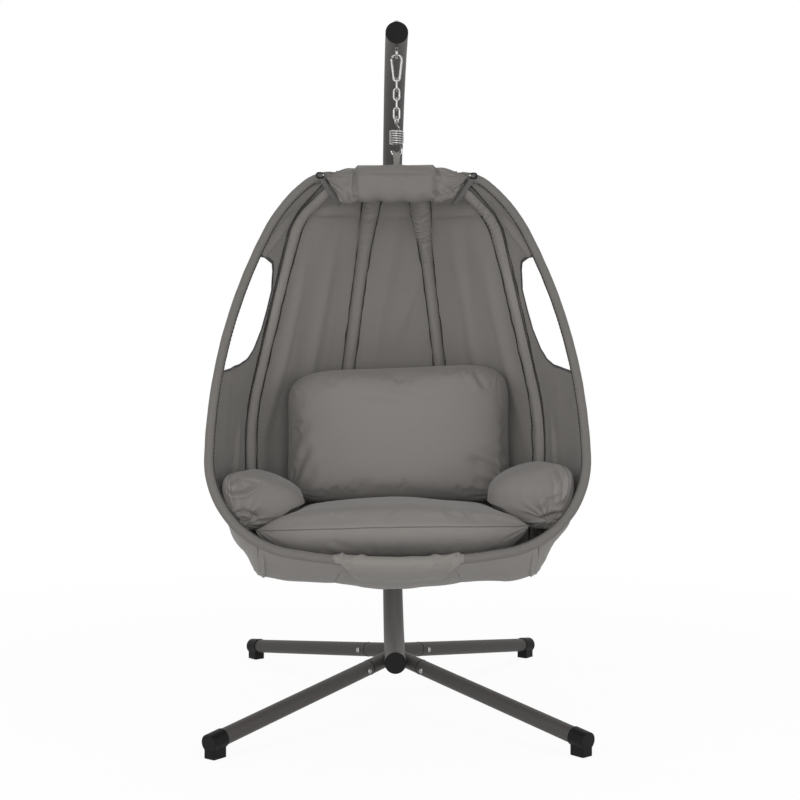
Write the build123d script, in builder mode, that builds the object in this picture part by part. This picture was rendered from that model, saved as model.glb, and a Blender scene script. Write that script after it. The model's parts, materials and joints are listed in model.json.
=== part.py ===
from build123d import *
from math import asin, cos, degrees, pi, radians, sin, sqrt
import os

os.makedirs("parts", exist_ok=True)

# A hanging chair: a fabric basket on a bent tube frame, hung by a chain and a spring from a C-shaped pole.
# Millimetres, +Z up, the sitter faces -Y, and the origin is on the floor under the middle of the object.

# Clearances
tube_fit = 0.2
weld_gap = 0.2
soft_gap = 0.3
link_gap = 0.3
bolt_fit = 0.3
plug_fit = 0.5
rounding_share = 0.6

# Pole: a C of three tubes in the plane X = 0
pole_od = 60.0
pole_wall = 2.0
pole_front_reach = 164.0
pole_front_z = 139.0
foot_bend_r = 690.0
foot_bend_deg = 36.0
lower_run = 173.0
back_bend_r = 500.0
socket_depth = 90.0
middle_length = 182.0
spigot_length = 78.0
upper_run = 88.0
arm_bend_r = 1450.0
arm_bend_deg = 27.0
arm_tip_rise_deg = 6.0
plug_face = 4.0
plug_insert = 18.0

# Legs and feet
leg_od = 42.0
leg_wall = 1.6
leg_hub_z = 135.0
leg_hub_spread = 36.0
leg_angle = 51.0
leg_reach = 735.0
foot_axis_z = 37.0
stub_length = 118.0
stub_spigot = 70.0
foot_wall = 2.4
foot_cap_length = 48.0
foot_end = 3.0
foot_block_width = 36.0
foot_block_length = 44.0

# Bolts
bolt_d = 8.0
bolt_head_d = 14.0
bolt_head_h = 4.5
nut_flats = 13.0
nut_h = 6.5
leg_bolt_inset = 24.0

# Eye bolt
hang_inset = 28.0
eye_r = 10.5
eye_wire = 7.0
washer_d = 20.0
washer_t = 2.0

# Snap hook
hook_wire = 6.5
hook_top_r = 13.5
hook_bottom_r = 8.0
hook_length = 69.5
hook_nose_deg = 152.0
gate_d = 6.0
gate_tongue = 3.0
gate_tongue_height = 4.6
gate_overhang = 2.7
gate_slot_gap = 0.2
gate_tip_gap = 0.6
gate_pin_d = 2.4

# Chain
link_wire = 5.0
link_length = 36.0
link_width = 20.0
link_count = 4

# Extension spring
spring_wire = 5.5
spring_mean_r = 16.4
spring_pitch = 6.1
spring_whole_turns = 5
spring_loop_r = 9.0
spring_loop_twist = 25.0
spring_loop_gap = 0.6
spring_neck = 28.0
spring_tail = 31.5
spring_hook_r = 13.5
spring_loop_turns = (-20, 70, 160, 230)
spring_lead_share = 0.72
spring_lead_turn = 5.0
spring_lead_drop = 4.4
spring_lead_fall = 0.25
spring_coil_lead = 75.0
spring_coil_end = 300.0

# Webbing loop
strap_width = 14.0
strap_t = 4.0
strap_drop = 54.0

# Chair frame
bar_od = 28.0
bar_length = 320.0
bar_insert = 60.0
rim_od = 22.0
rim_wall = 1.5
rim_tilt = 14.8
rim_bottom_r = 1500.0
rim_bottom_deg = 10.4
rim_corner_r = 245.0
rim_side_r = 1400.0
rim_side_deg = 25.4
rim_shoulder_r = 413.0
rim_shoulder_deg = 22.6
rim_top_r = 100.0
rim_joint_length = 90.0
rib_od = 19.0
rib_wall = 1.5
inner_rib_on_rim = 140.0
outer_rib_on_rim = 346.0

# Rib corners, as offsets from the middle of the top bar, with the bend radius at each
inner_rib_start = 50.0
inner_rib_corners = [
    (76, 228, -89, 450),
    (145, 383, -609, 700),
    (178, 296, -973, 300),
    (160, -114, -1081, 350),
]
outer_rib_start = 138.0
outer_rib_corners = [
    (266, 75, -109, 150),
    (402, 180, -640, 450),
    (392, 135, -989, 170),
    (342, -150, -1040, 150),
]

# Cover
sleeve_t = 2.2
sleeve_end_gap = 8.8
fabric_t = 2.5
cover_top_share = 0.05
cover_split_share = 0.66
cover_front_share = 0.985
side_top_share = 0.05
side_front_share = 0.93
cover_sag = 0.045
basket_middle_offset = (0, 80, -600)
window_bottom = 510.0
window_top = 212.0
window_low_y = -135.0
window_high_y = -7.5
window_inmost_y = 108.0
window_front_y = -300.0

# Cushions: offset from the middle of the top bar, width, length, crown above and below the edge, edge height
crown_power = 2.5
crown_fullness = 0.4
crown_least = 0.1
seat_offset = (0, -12, -936.7)
seat_width = 680.0
seat_length = 430.0
seat_crown_up = 58.0
seat_crown_down = 52.0
seat_edge = 34.0
back_offset = (0, 167.0, -664)
back_width = 610.0
back_length = 365.0
back_crown = 58.0
back_edge = 34.0
back_lean = 8.0
arm_offset = (323.5, -56, -825.9)
arm_width = 180.0
arm_length = 330.0
arm_crown = 52.0
arm_edge = 40.0
arm_roll = 20.0
head_width = 340.0
head_height = 110.0
head_t = 46.0
head_rise = 25.0
buckle_width = 24.0
buckle_height = 18.0
buckle_t = 4.0
buckle_inset = 30.0
buckle_slot_share = 0.6

# Sides drawn in between the corners, a seat narrower at the back, and bolsters narrower at both ends
square_plan = [(-1, 1), (-0.85, 0.985), (-0.5, 0.965), (0, 0.955), (0.5, 0.965), (0.85, 0.985), (1, 1)]
seat_plan = [(-1, 0.93), (-0.85, 0.96), (-0.5, 0.99), (0, 1), (0.5, 0.93), (0.85, 0.82), (1, 0.74)]
bolster_plan = [(-1, 0.8), (-0.85, 0.93), (-0.5, 0.99), (0, 1), (0.5, 0.99), (0.85, 0.93), (1, 0.8)]

# The head bolster's fullness along its half width, and its section as shares of its depth and height
head_stations = [(1, 0.45), (0.82, 0.8), (0.66, 0.6), (0.33, 0.95), (0, 1)]
head_top_share = 0.35
head_front_share = 0.45
head_foot_share = 0.3
head_least_height = 0.72


def bent_path(start, heading, steps):
    """A flat path: each step is a bend radius and its turn, or a straight length and no turn."""
    with BuildLine() as path:
        point = Vector(*start)
        tangent = Vector(cos(radians(heading)), sin(radians(heading)))
        for size, turn in steps:
            step = JernArc(point, tangent, size, turn) if turn else Line(point, point + tangent * size)
            point = step @ 1
            tangent = step % 1
    return path.wire()


def tube(path, outer_d, inner_d=0):
    """A round tube, or a solid rod, swept along a path."""
    with BuildPart() as swept:
        with BuildSketch(Plane(origin=path @ 0, z_dir=path % 0)):
            Circle(outer_d / 2)
            if inner_d:
                Circle(inner_d / 2, mode=Mode.SUBTRACT)
        sweep(path=path)
    return swept.part


def biarc_path(nodes):
    """A path through points with given tangents, two tangent arcs between each pair."""
    with BuildLine() as path:
        for (p0, t0), (p1, t1) in zip(nodes, nodes[1:]):
            chord = p1 - p0
            both = t0 + t1
            spread = 2 * (1 - t0.dot(t1))
            lean = chord.dot(both)
            reach = (sqrt(lean * lean + spread * chord.dot(chord)) - lean) / spread
            corner0 = p0 + t0 * reach
            corner1 = p1 - t1 * reach
            middle = (corner0 + corner1) * 0.5
            TangentArc(p0, middle, tangent=t0)
            TangentArc(middle, p1, tangent=corner1 - corner0)
    return path.wire()


def save(piece, name):
    piece.label = name
    export_step(piece, f"parts/{name}.step")


def mirrored(piece):
    with BuildPart() as other:
        mirror(piece, about=Plane.YZ)
    return other.part


def save_pair(piece, name):
    save(piece, f"{name}_right")
    save(mirrored(piece), f"{name}_left")


# Pole sections
lower_path = bent_path(
    (-pole_front_reach, pole_front_z),
    0,
    [(foot_bend_r, foot_bend_deg), (lower_run, 0), (back_bend_r, 90 - foot_bend_deg), (socket_depth, 0)],
).moved(Plane.YZ.location)
lower_end = lower_path @ 1
upper_start = lower_end + Vector(0, 0, middle_length)
upper_path = bent_path(
    (upper_start.Y, upper_start.Z),
    90,
    [
        (socket_depth, 0),
        (back_bend_r, 90 - arm_bend_deg - arm_tip_rise_deg),
        (upper_run, 0),
        (arm_bend_r, arm_bend_deg),
    ],
).moved(Plane.YZ.location)
pole_bore = pole_od - 2 * pole_wall

# Leg axes, front and back, left and right
leg_slope = degrees(asin((leg_hub_z - foot_axis_z) / sqrt(leg_reach**2 + (leg_hub_z - foot_axis_z) ** 2)))
leg_length = leg_reach / cos(radians(leg_slope))
leg_spigot_d = leg_od - 2 * leg_wall - 2 * tube_fit
leg_planes = {}
for back, front_name in ((-1, "front"), (1, "rear")):
    for side, side_name in ((-1, "left"), (1, "right")):
        across = Vector(side * cos(radians(leg_angle)), back * sin(radians(leg_angle)), 0)
        along = across * cos(radians(leg_slope)) - Vector(0, 0, sin(radians(leg_slope)))
        level = Vector(across.Y, -across.X, 0) * (side * back)
        level = level if level.Y < 0 else level * -1
        leg_planes[f"{front_name}_{side_name}"] = Plane(
            origin=(0, back * leg_hub_spread, leg_hub_z), x_dir=level, z_dir=along
        )

bolt_hole_d = bolt_d + 2 * bolt_fit
leg_bolt_s = stub_length + leg_bolt_inset


def cross_plane(plane, along, reach=0.0):
    """A plane across an axis: its normal is the axis plane's x direction, a reach out from the axis."""
    origin = plane.from_local_coords(Vector(reach, 0, along))
    return Plane(origin=origin, x_dir=plane.z_dir, z_dir=plane.x_dir)


def cross_bolt(plane, along, radius):
    """A dome-headed bolt right through a tube, and the nut on its far end."""
    with BuildPart() as bolt:
        with BuildSketch(cross_plane(plane, along, -radius - bolt_fit - nut_h)):
            Circle(bolt_d / 2)
        extrude(amount=2 * radius + 2 * bolt_fit + nut_h)
        with BuildSketch(cross_plane(plane, along, radius + bolt_fit)):
            Circle(bolt_head_d / 2)
        extrude(amount=bolt_head_h)
        rim_edge = bolt.edges().filter_by(GeomType.CIRCLE).sort_by(SortBy.RADIUS)[-2:]
        fillet(rim_edge.sort_by(Axis(plane.origin, plane.x_dir))[-1], bolt_head_h * rounding_share)
    with BuildPart() as nut:
        with BuildSketch(cross_plane(plane, along, -radius - bolt_fit - nut_h)):
            RegularPolygon(nut_flats / 2, 6, major_radius=False)
            Circle(bolt_d / 2 + tube_fit, mode=Mode.SUBTRACT)
        extrude(amount=nut_h)
    return [bolt.part, nut.part]


def cross_hole(plane, along, radius):
    """The rod that cuts the hole for a cross bolt."""
    with BuildPart() as rod:
        with BuildSketch(cross_plane(plane, along, -radius)):
            Circle(bolt_hole_d / 2)
        extrude(amount=2 * radius)
    return rod.part


# Joint bolts of the pole cross its tube halfway along each socket
pole_plane = Plane(origin=lower_end, x_dir=(1, 0, 0), z_dir=(0, 0, 1))
pole_bolt_heights = [-socket_depth / 2, middle_length + socket_depth / 2]

with BuildPart() as pole_lower:
    start = Plane(origin=lower_path @ 0, z_dir=lower_path % 0)
    with BuildSketch(start):
        Circle(pole_od / 2)
    sweep(path=lower_path)
    for plane in leg_planes.values():
        with BuildSketch(plane):
            Circle(leg_od / 2)
        extrude(amount=stub_length)
        with BuildSketch(plane.offset(stub_length)):
            Circle(leg_spigot_d / 2)
        extrude(amount=stub_spigot)
    with BuildSketch(start):
        Circle(pole_bore / 2)
    sweep(path=lower_path, mode=Mode.SUBTRACT)
    for plane in leg_planes.values():
        with BuildSketch(plane.offset(stub_length / 2)):
            Circle(leg_spigot_d / 2 - leg_wall)
        extrude(amount=stub_length / 2 + stub_spigot, mode=Mode.SUBTRACT)
        add(cross_hole(plane, leg_bolt_s, leg_od), mode=Mode.SUBTRACT)
    add(cross_hole(pole_plane, pole_bolt_heights[0], pole_od), mode=Mode.SUBTRACT)
save(pole_lower.part, "pole_lower")

with BuildPart() as pole_middle:
    with BuildSketch(pole_plane):
        Circle(pole_od / 2)
    extrude(amount=middle_length)
    with BuildSketch(pole_plane.offset(-spigot_length)):
        Circle(pole_bore / 2 - tube_fit)
    extrude(amount=middle_length + 2 * spigot_length)
    with BuildSketch(pole_plane.offset(-spigot_length)):
        Circle(pole_bore / 2 - tube_fit - pole_wall)
    extrude(amount=middle_length + 2 * spigot_length, mode=Mode.SUBTRACT)
    for height in pole_bolt_heights:
        add(cross_hole(pole_plane, height, pole_od), mode=Mode.SUBTRACT)
save(pole_middle.part, "pole_middle")

# The hanging axis is a little behind the arm's tip
hang_point = upper_path.position_at(1 - hang_inset / upper_path.length)
hang_slope = upper_path.tangent_at(1 - hang_inset / upper_path.length)
hang_y = hang_point.Y
arm_half_height = pole_od / 2 / sqrt(1 - hang_slope.Z**2)

with BuildPart() as pole_upper:
    add(tube(upper_path, pole_od, pole_bore))
    add(cross_hole(pole_plane, pole_bolt_heights[1], pole_od), mode=Mode.SUBTRACT)
    with BuildSketch(Plane.XY.offset(hang_point.Z - pole_od)):
        with Locations((0, hang_y)):
            Circle(bolt_hole_d / 2)
    extrude(amount=2 * pole_od, mode=Mode.SUBTRACT)
save(pole_upper.part, "pole_upper")

with BuildPart() as pole_fasteners:
    for height in pole_bolt_heights:
        for piece in cross_bolt(pole_plane, height, pole_od / 2):
            add(piece)
save(pole_fasteners.part, "pole_fasteners")


def end_plug(point, outward):
    """A plug with a domed face, pushed into a tube end."""
    with BuildPart() as plug:
        with BuildSketch(Plane(origin=point, z_dir=outward)):
            Circle(pole_od / 2)
        extrude(amount=plug_face)
        fillet(plug.edges().sort_by(Axis(point, outward))[-1], plug_face * rounding_share)
        with BuildSketch(Plane(origin=point, z_dir=outward * -1)):
            Circle(pole_bore / 2 - plug_fit)
            Circle(pole_bore / 2 - plug_fit - pole_wall, mode=Mode.SUBTRACT)
        extrude(amount=plug_insert)
    return plug.part


save(end_plug(lower_path @ 0, (lower_path % 0) * -1), "base_plug")
save(end_plug(upper_path @ 1, upper_path % 1), "arm_plug")

# Legs, feet and their bolts
leg_end = leg_length - foot_end
leg_bolts = []
for name, plane in leg_planes.items():
    with BuildPart() as leg:
        with BuildSketch(plane.offset(stub_length)):
            Circle(leg_od / 2)
            Circle(leg_od / 2 - leg_wall, mode=Mode.SUBTRACT)
        extrude(amount=leg_end - stub_length)
        add(cross_hole(plane, leg_bolt_s, leg_od), mode=Mode.SUBTRACT)
    save(leg.part, f"leg_{name}")

    # The cap closes the leg's end, and its block stands flat on the floor
    with BuildPart() as foot:
        with BuildSketch(plane.offset(leg_length - foot_cap_length)):
            Circle(leg_od / 2 + tube_fit + foot_wall)
        extrude(amount=foot_cap_length)
        fillet(foot.edges().sort_by(Axis(plane.origin, plane.z_dir))[-1], foot_end * rounding_share)
        middle = plane.from_local_coords(Vector(0, 0, leg_length - foot_cap_length / 2))
        with BuildSketch(Plane(origin=(middle.X, middle.Y, 0), x_dir=plane.x_dir, z_dir=(0, 0, 1))):
            RectangleRounded(foot_block_width, foot_block_length, foot_wall * 2)
        extrude(amount=middle.Z)
        with BuildSketch(plane.offset(leg_end - foot_cap_length * 2)):
            Circle(leg_od / 2 + tube_fit)
        extrude(amount=foot_cap_length * 2, mode=Mode.SUBTRACT)
    save(foot.part, f"foot_{name}")
    leg_bolts += cross_bolt(plane, leg_bolt_s, leg_od / 2)

with BuildPart() as leg_fasteners:
    for piece in leg_bolts:
        add(piece)
save(leg_fasteners.part, "leg_fasteners")

# Heights of the hanging hardware, each from the piece above it
arm_under_z = hang_point.Z - arm_half_height
arm_top_z = hang_point.Z + arm_half_height
washer_z = arm_top_z + bolt_fit + washer_d / 2 * abs(hang_slope.Z / hang_slope.Y)
eye_z = arm_under_z - link_gap - eye_r - eye_wire / 2
hook_top_z = eye_z - eye_r + eye_wire / 2 + link_gap + hook_wire / 2
hook_bottom_z = hook_top_z - hook_length
link_span = link_length - link_wire
link_tops = [hook_bottom_z + hook_wire / 2 + link_gap + link_wire / 2]
for _ in range(link_count - 1):
    link_tops.append(link_tops[-1] - link_span + link_wire + link_gap)
link_low_z = link_tops[-1] - link_span
loop_z = link_low_z + link_wire / 2 + spring_loop_gap + spring_wire / 2 - spring_loop_r
coil_top_z = loop_z - spring_neck


def side_plane(z):
    """The fore-and-aft plane through the hanging axis."""
    return Plane(origin=(0, hang_y, z), x_dir=(0, 1, 0), z_dir=(1, 0, 0))


with BuildPart() as eye_bolt:
    with BuildSketch(Plane(origin=(0, hang_y, eye_z), x_dir=(0, 1, 0), z_dir=(0, 0, 1))):
        with Locations((eye_r, 0)):
            Circle(eye_wire / 2)
    revolve(axis=Axis((0, hang_y, eye_z), (1, 0, 0)), revolution_arc=360)
    with BuildSketch(Plane(origin=(0, hang_y, eye_z + eye_r))):
        Circle(bolt_d / 2)
    extrude(amount=washer_z + washer_t + nut_h + washer_t - eye_z - eye_r)
save(eye_bolt.part, "eye_bolt")

with BuildPart() as eye_washer:
    with BuildSketch(Plane(origin=(0, hang_y, washer_z))):
        Circle(washer_d / 2)
        Circle(bolt_hole_d / 2, mode=Mode.SUBTRACT)
    extrude(amount=washer_t)
save(eye_washer.part, "eye_washer")

with BuildPart() as eye_nut:
    with BuildSketch(Plane(origin=(0, hang_y, washer_z + washer_t))):
        RegularPolygon(nut_flats / 2, 6, major_radius=False)
        Circle(bolt_d / 2 + tube_fit, mode=Mode.SUBTRACT)
    extrude(amount=nut_h)
save(eye_nut.part, "eye_nut")

# Snap hook: a wire body from the gate's pivot round the bottom, up the right side and over the top to the nose
front_plane = Plane(origin=(0, hang_y, 0), x_dir=(1, 0, 0), z_dir=(0, -1, 0))
hook_top_centre = Vector(0, hook_top_z - hook_top_r)
hook_bottom_centre = Vector(0, hook_bottom_z + hook_bottom_r)
hook_lean = degrees(asin((hook_top_r - hook_bottom_r) / (hook_top_centre.Y - hook_bottom_centre.Y)))
gate_foot = hook_bottom_centre + Vector(-cos(radians(hook_lean)), sin(-radians(hook_lean))) * hook_bottom_r
gate_way = Vector(-sin(radians(hook_lean)), cos(radians(hook_lean)))
gate_pivot = gate_foot + gate_way * gate_d
hook_nose = hook_top_centre + Vector(cos(radians(hook_nose_deg)), sin(radians(hook_nose_deg))) * hook_top_r
with BuildLine() as hook_line:
    CenterArc(hook_bottom_centre, hook_bottom_r, 180 + hook_lean, 180 - 2 * hook_lean)
    right_low = hook_bottom_centre + Vector(cos(radians(hook_lean)), -sin(radians(hook_lean))) * hook_bottom_r
    right_high = hook_top_centre + Vector(cos(radians(hook_lean)), -sin(radians(hook_lean))) * hook_top_r
    Line(right_low, right_high)
    CenterArc(hook_top_centre, hook_top_r, -hook_lean, hook_nose_deg + hook_lean)
hook_path = hook_line.wire().moved(front_plane.location)

gate_plane = Plane(
    origin=front_plane.from_local_coords(gate_pivot),
    x_dir=(0, 1, 0),
    z_dir=front_plane.from_local_coords(gate_pivot + gate_way) - front_plane.from_local_coords(gate_pivot),
)
gate_reach = (hook_nose - gate_pivot).dot(gate_way) - hook_wire / 2 - gate_tip_gap
with BuildPart() as snap_hook:
    with BuildSketch(Plane(origin=hook_path @ 0, z_dir=hook_path % 0)):
        Circle(hook_wire / 2)
    sweep(path=hook_path)
    # A flat tongue carries the gate's pin
    tongue_foot = front_plane.from_local_coords(gate_foot)
    with BuildSketch(Plane(origin=tongue_foot, x_dir=(0, 1, 0), z_dir=gate_plane.z_dir)):
        Rectangle(gate_tongue, gate_tongue_height)
    extrude(amount=gate_d)
    with BuildSketch(Plane(gate_plane.origin, x_dir=gate_plane.z_dir, z_dir=(0, 1, 0))):
        Circle(gate_tongue_height / 2)
    extrude(amount=gate_tongue / 2, both=True)
    with BuildSketch(Plane(gate_plane.origin, x_dir=gate_plane.z_dir, z_dir=(0, 1, 0))):
        Circle(gate_pin_d / 2 + gate_slot_gap / 2)
    extrude(amount=hook_wire, both=True, mode=Mode.SUBTRACT)
save(snap_hook.part, "snap_hook")

with BuildPart() as hook_gate:
    with BuildSketch(gate_plane.offset(-gate_overhang)):
        Circle(gate_d / 2)
    extrude(amount=gate_overhang + gate_reach)
    with BuildSketch(gate_plane.offset(-gate_overhang)):
        Rectangle(gate_tongue + 2 * gate_slot_gap, gate_d)
    extrude(amount=2 * gate_d, mode=Mode.SUBTRACT)
    with BuildSketch(Plane(gate_plane.origin, x_dir=gate_plane.z_dir, z_dir=(0, 1, 0))):
        Circle(gate_pin_d / 2 + gate_slot_gap / 2)
    extrude(amount=gate_d, both=True, mode=Mode.SUBTRACT)
save(hook_gate.part, "hook_gate")

with BuildPart() as gate_pin:
    with BuildSketch(Plane(gate_plane.origin, x_dir=gate_plane.z_dir, z_dir=(0, 1, 0))):
        Circle(gate_pin_d / 2)
    extrude(amount=gate_d / 2 + gate_slot_gap, both=True)
save(gate_pin.part, "gate_pin")

# Chain links hang in turn fore and aft and side to side
for index, top in enumerate(link_tops):
    centre_z = top - link_span / 2
    turned = Plane(origin=(0, hang_y, centre_z), x_dir=(1, 0, 0), z_dir=(0, -1, 0))
    base = turned if index % 2 else side_plane(centre_z)
    bow_r = (link_width - link_wire) / 2
    half = link_span / 2 - bow_r
    with BuildLine() as link_line:
        Line((bow_r, -half), (bow_r, half))
        CenterArc((0, half), bow_r, 0, 180)
        Line((-bow_r, half), (-bow_r, -half))
        CenterArc((0, -half), bow_r, 180, 180)
    save(tube(link_line.wire().moved(base.location), link_wire), f"chain_link_{index + 1}")

# Spring: a loop at the top, close coils and an open hook at the bottom, one wire throughout
loop_heading = 90 - spring_loop_twist
loop_out = Vector(cos(radians(loop_heading)), sin(radians(loop_heading)), 0)
up = Vector(0, 0, 1)
axis_point = Vector(0, hang_y, 0)


def around(radius, heading, z):
    """A point at a radius and a heading about the hanging axis."""
    return axis_point + Vector(radius * cos(radians(heading)), radius * sin(radians(heading)), z)


def flow(heading, fall):
    """A unit direction along a level heading, falling by a share of its run."""
    return Vector(cos(radians(heading)), sin(radians(heading)), -fall).normalized()


spring_nodes = []
for turn in spring_loop_turns:
    spoke = loop_out * cos(radians(turn)) + up * sin(radians(turn))
    way = loop_out * -sin(radians(turn)) + up * cos(radians(turn))
    spring_nodes.append((axis_point + up * loop_z + spoke * spring_loop_r, way))
coil_start = loop_heading + spring_coil_lead
coil_end = spring_coil_end + 360 * spring_whole_turns
lead_heading = loop_heading + spring_lead_turn
lead_point = around(spring_mean_r * spring_lead_share, lead_heading, coil_top_z + spring_lead_drop)
spring_nodes.append((lead_point, flow(coil_start, spring_lead_fall)))
coil_steps = round((coil_end - coil_start) / 90)
coil_fall = spring_pitch / (2 * pi * spring_mean_r)
for step in range(coil_steps + 1):
    heading = coil_start + (coil_end - coil_start) * step / coil_steps
    drop = spring_pitch * (heading - coil_start) / 360
    spring_nodes.append((around(spring_mean_r, heading, coil_top_z - drop), flow(heading + 90, coil_fall)))
coil_low_z = coil_top_z - spring_pitch * (coil_end - coil_start) / 360
hook_low_z = coil_low_z - spring_tail
spring_nodes.append((around(spring_hook_r, 0, hook_low_z + spring_hook_r), up * -1))
spring_nodes.append((around(0, 0, hook_low_z), Vector(-1, 0, 0)))
spring_nodes.append((around(spring_hook_r, 180, hook_low_z + spring_hook_r), up))
spring_path = biarc_path(spring_nodes)
save(tube(spring_path, spring_wire), "spring")

# The least gap between the wire and itself, measured on points further apart than one bend
wire_points = [spring_path.position_at(i / 600) for i in range(601)]
apart = int(600 * pi * spring_loop_r / spring_path.length)
least = min(
    (wire_points[i] - wire_points[j]).length
    for i in range(len(wire_points))
    for j in range(i + apart, len(wire_points))
)
print("least gap of the spring to itself:", round(least - spring_wire, 2))

# Webbing loop over the spring's hook and round the chair's top bar
bar_z = hook_low_z - strap_drop
hook_half = sqrt(spring_hook_r**2 - (strap_width / 2) ** 2)
strap_lift = spring_hook_r - hook_half + spring_wire / 2 * (spring_hook_r / hook_half - 1)
strap_top_r = spring_wire / 2 + soft_gap
strap_bar_r = bar_od / 2 + soft_gap
with BuildPart() as webbing_loop:
    for wall, mode in ((strap_t, Mode.ADD), (0, Mode.SUBTRACT)):
        with BuildSketch(side_plane(bar_z)):
            with BuildLine():
                CenterArc((0, strap_drop + strap_lift), strap_top_r + wall, 0, 360)
                CenterArc((0, 0), strap_bar_r + wall, 0, 360)
            make_hull()
        extrude(amount=strap_width / 2, both=True, mode=mode)
save(webbing_loop.part, "webbing_loop")

# Chair frame: two rim halves in one leaning plane, joined at the bottom and by the top bar
rim_steps = [
    (rim_bottom_r, rim_bottom_deg),
    (rim_corner_r, 90 - rim_bottom_deg),
    (rim_side_r, rim_side_deg),
    (rim_shoulder_r, rim_shoulder_deg),
    (rim_top_r, 90 - rim_side_deg - rim_shoulder_deg),
]
rim_flat = bent_path((0, 0), 0, rim_steps)
rim_top = rim_flat @ 1
rim_up = Vector(0, sin(radians(rim_tilt)), cos(radians(rim_tilt)))
bar_centre = Vector(0, hang_y, bar_z)
rim_plane = Plane(
    origin=bar_centre - rim_up * rim_top.Y,
    x_dir=(1, 0, 0),
    z_dir=Vector(1, 0, 0).cross(rim_up),
)
rim_path = rim_flat.moved(rim_plane.location)
rim_end = bar_length / 2 - bar_insert
rim_full_path = bent_path((0, 0), 0, rim_steps + [(rim_top.X - rim_end, 0)]).moved(rim_plane.location)

with BuildPart() as top_bar:
    with BuildSketch(Plane(origin=bar_centre - Vector(bar_length / 2, 0, 0), z_dir=(1, 0, 0))):
        Circle(bar_od / 2)
        Circle(rim_od / 2 + tube_fit, mode=Mode.SUBTRACT)
    extrude(amount=bar_length)
save(top_bar.part, "top_bar")

save_pair(tube(rim_full_path, rim_od, rim_od - 2 * rim_wall), "rim")

joint_deg = degrees(rim_joint_length / 2 / rim_bottom_r)
with BuildLine() as joint_line:
    CenterArc((0, rim_bottom_r), rim_bottom_r, -90 - joint_deg, 2 * joint_deg)
rim_joint = tube(joint_line.wire().moved(rim_plane.location), rim_od - 2 * rim_wall - 2 * tube_fit)
save(rim_joint, "rim_joint")


def rib_path(start_x, corners, on_rim):
    """From the top bar down the back and under the seat to the front of the rim."""
    with BuildLine() as path:
        points = [bar_centre + Vector(start_x, 0, 0)]
        points += [bar_centre + Vector(x, y, z) for x, y, z, _ in corners]
        points.append(rim_path.position_at(on_rim / rim_path.length))
        FilletPolyline(*points, radius=[corner[3] for corner in corners])
    return path.wire()


inner_path = rib_path(inner_rib_start, inner_rib_corners, inner_rib_on_rim)
outer_path = rib_path(outer_rib_start, outer_rib_corners, outer_rib_on_rim)
sleeve_d = rib_od + 2 * soft_gap + 2 * sleeve_t
rim_sleeve_d = rim_od + 2 * soft_gap + 2 * sleeve_t


def around_bar(radius):
    """A solid round the top bar, to cut back what ends at it."""
    with BuildPart() as keep_out:
        with BuildSketch(Plane(origin=bar_centre - Vector(bar_length, 0, 0), z_dir=(1, 0, 0))):
            Circle(radius)
        extrude(amount=2 * bar_length)
    return keep_out.part


rim_rod = tube(rim_path, rim_od + 2 * weld_gap)
rim_sleeve_rod = tube(rim_path, rim_sleeve_d + 2 * soft_gap)
bar_rod = around_bar(bar_od / 2 + weld_gap)
bar_clear_rod = around_bar(bar_od / 2 + sleeve_end_gap)
rib_rods = {}
for name, path in (("inner", inner_path), ("outer", outer_path)):
    with BuildPart() as rib:
        add(tube(path, rib_od, rib_od - 2 * rib_wall))
        add(rim_rod, mode=Mode.SUBTRACT)
        add(bar_rod, mode=Mode.SUBTRACT)
    save_pair(rib.part, f"rib_{name}")
    with BuildPart() as sleeve:
        add(tube(path, sleeve_d, rib_od + 2 * soft_gap))
        add(rim_sleeve_rod, mode=Mode.SUBTRACT)
        add(bar_clear_rod, mode=Mode.SUBTRACT)
    save_pair(sleeve.part, f"rib_sleeve_{name}")
    rib_rods[name] = tube(path, sleeve_d + 2 * soft_gap)

with BuildPart() as rim_sleeve:
    add(tube(rim_path, rim_sleeve_d, rim_od + 2 * soft_gap))
    for path in (inner_path, outer_path):
        add(tube(path, rib_od + 4 * soft_gap), mode=Mode.SUBTRACT)
    with BuildSketch(Plane.YZ):
        with Locations((rim_plane.origin.Y, rim_plane.origin.Z)):
            Circle(rim_sleeve_d)
    extrude(amount=soft_gap / 2, mode=Mode.SUBTRACT)
save_pair(rim_sleeve.part, "rim_sleeve")

# Cover panels: thin strips lofted between neighbouring ribs, bellied away from the middle of the basket
basket_middle = bar_centre + Vector(*basket_middle_offset)


def inner(share):
    return inner_path.position_at(share)


def inner_left(share):
    return inner(share) - Vector(2 * inner(share).X, 0, 0)


def outer(share):
    return outer_path.position_at(share)


def rim_side(share):
    """The rim from its top end down to the outer rib's joint."""
    return rim_path.position_at(1 - share * (1 - outer_rib_on_rim / rim_path.length))


def panel(edge_a, edge_b, first, last, stations, rods):
    """A fabric strip between two edges, trimmed back to the sleeves."""
    with BuildPart() as strip:
        for station in range(stations):
            share = first + (last - first) * station / (stations - 1)
            a = edge_a(share)
            b = edge_b(share)
            chord = b - a
            out = (a + b) * 0.5 - basket_middle
            out = out - chord * (out.dot(chord) / chord.dot(chord))
            width = chord.length
            belly = cover_sag * width
            with BuildSketch(Plane(origin=a, x_dir=chord, z_dir=chord.cross(out))):
                with BuildLine():
                    low = -fabric_t / 2
                    high = fabric_t / 2
                    ThreePointArc((0, low), (width / 2, belly + low), (width, low))
                    Line((width, low), (width, high))
                    ThreePointArc((width, high), (width / 2, belly + high), (0, high))
                    Line((0, high), (0, low))
                make_face()
        loft()
        for rod in rods:
            add(rod, mode=Mode.SUBTRACT)
    return strip.part.solids().sort_by(SortBy.VOLUME)[-1]


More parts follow.
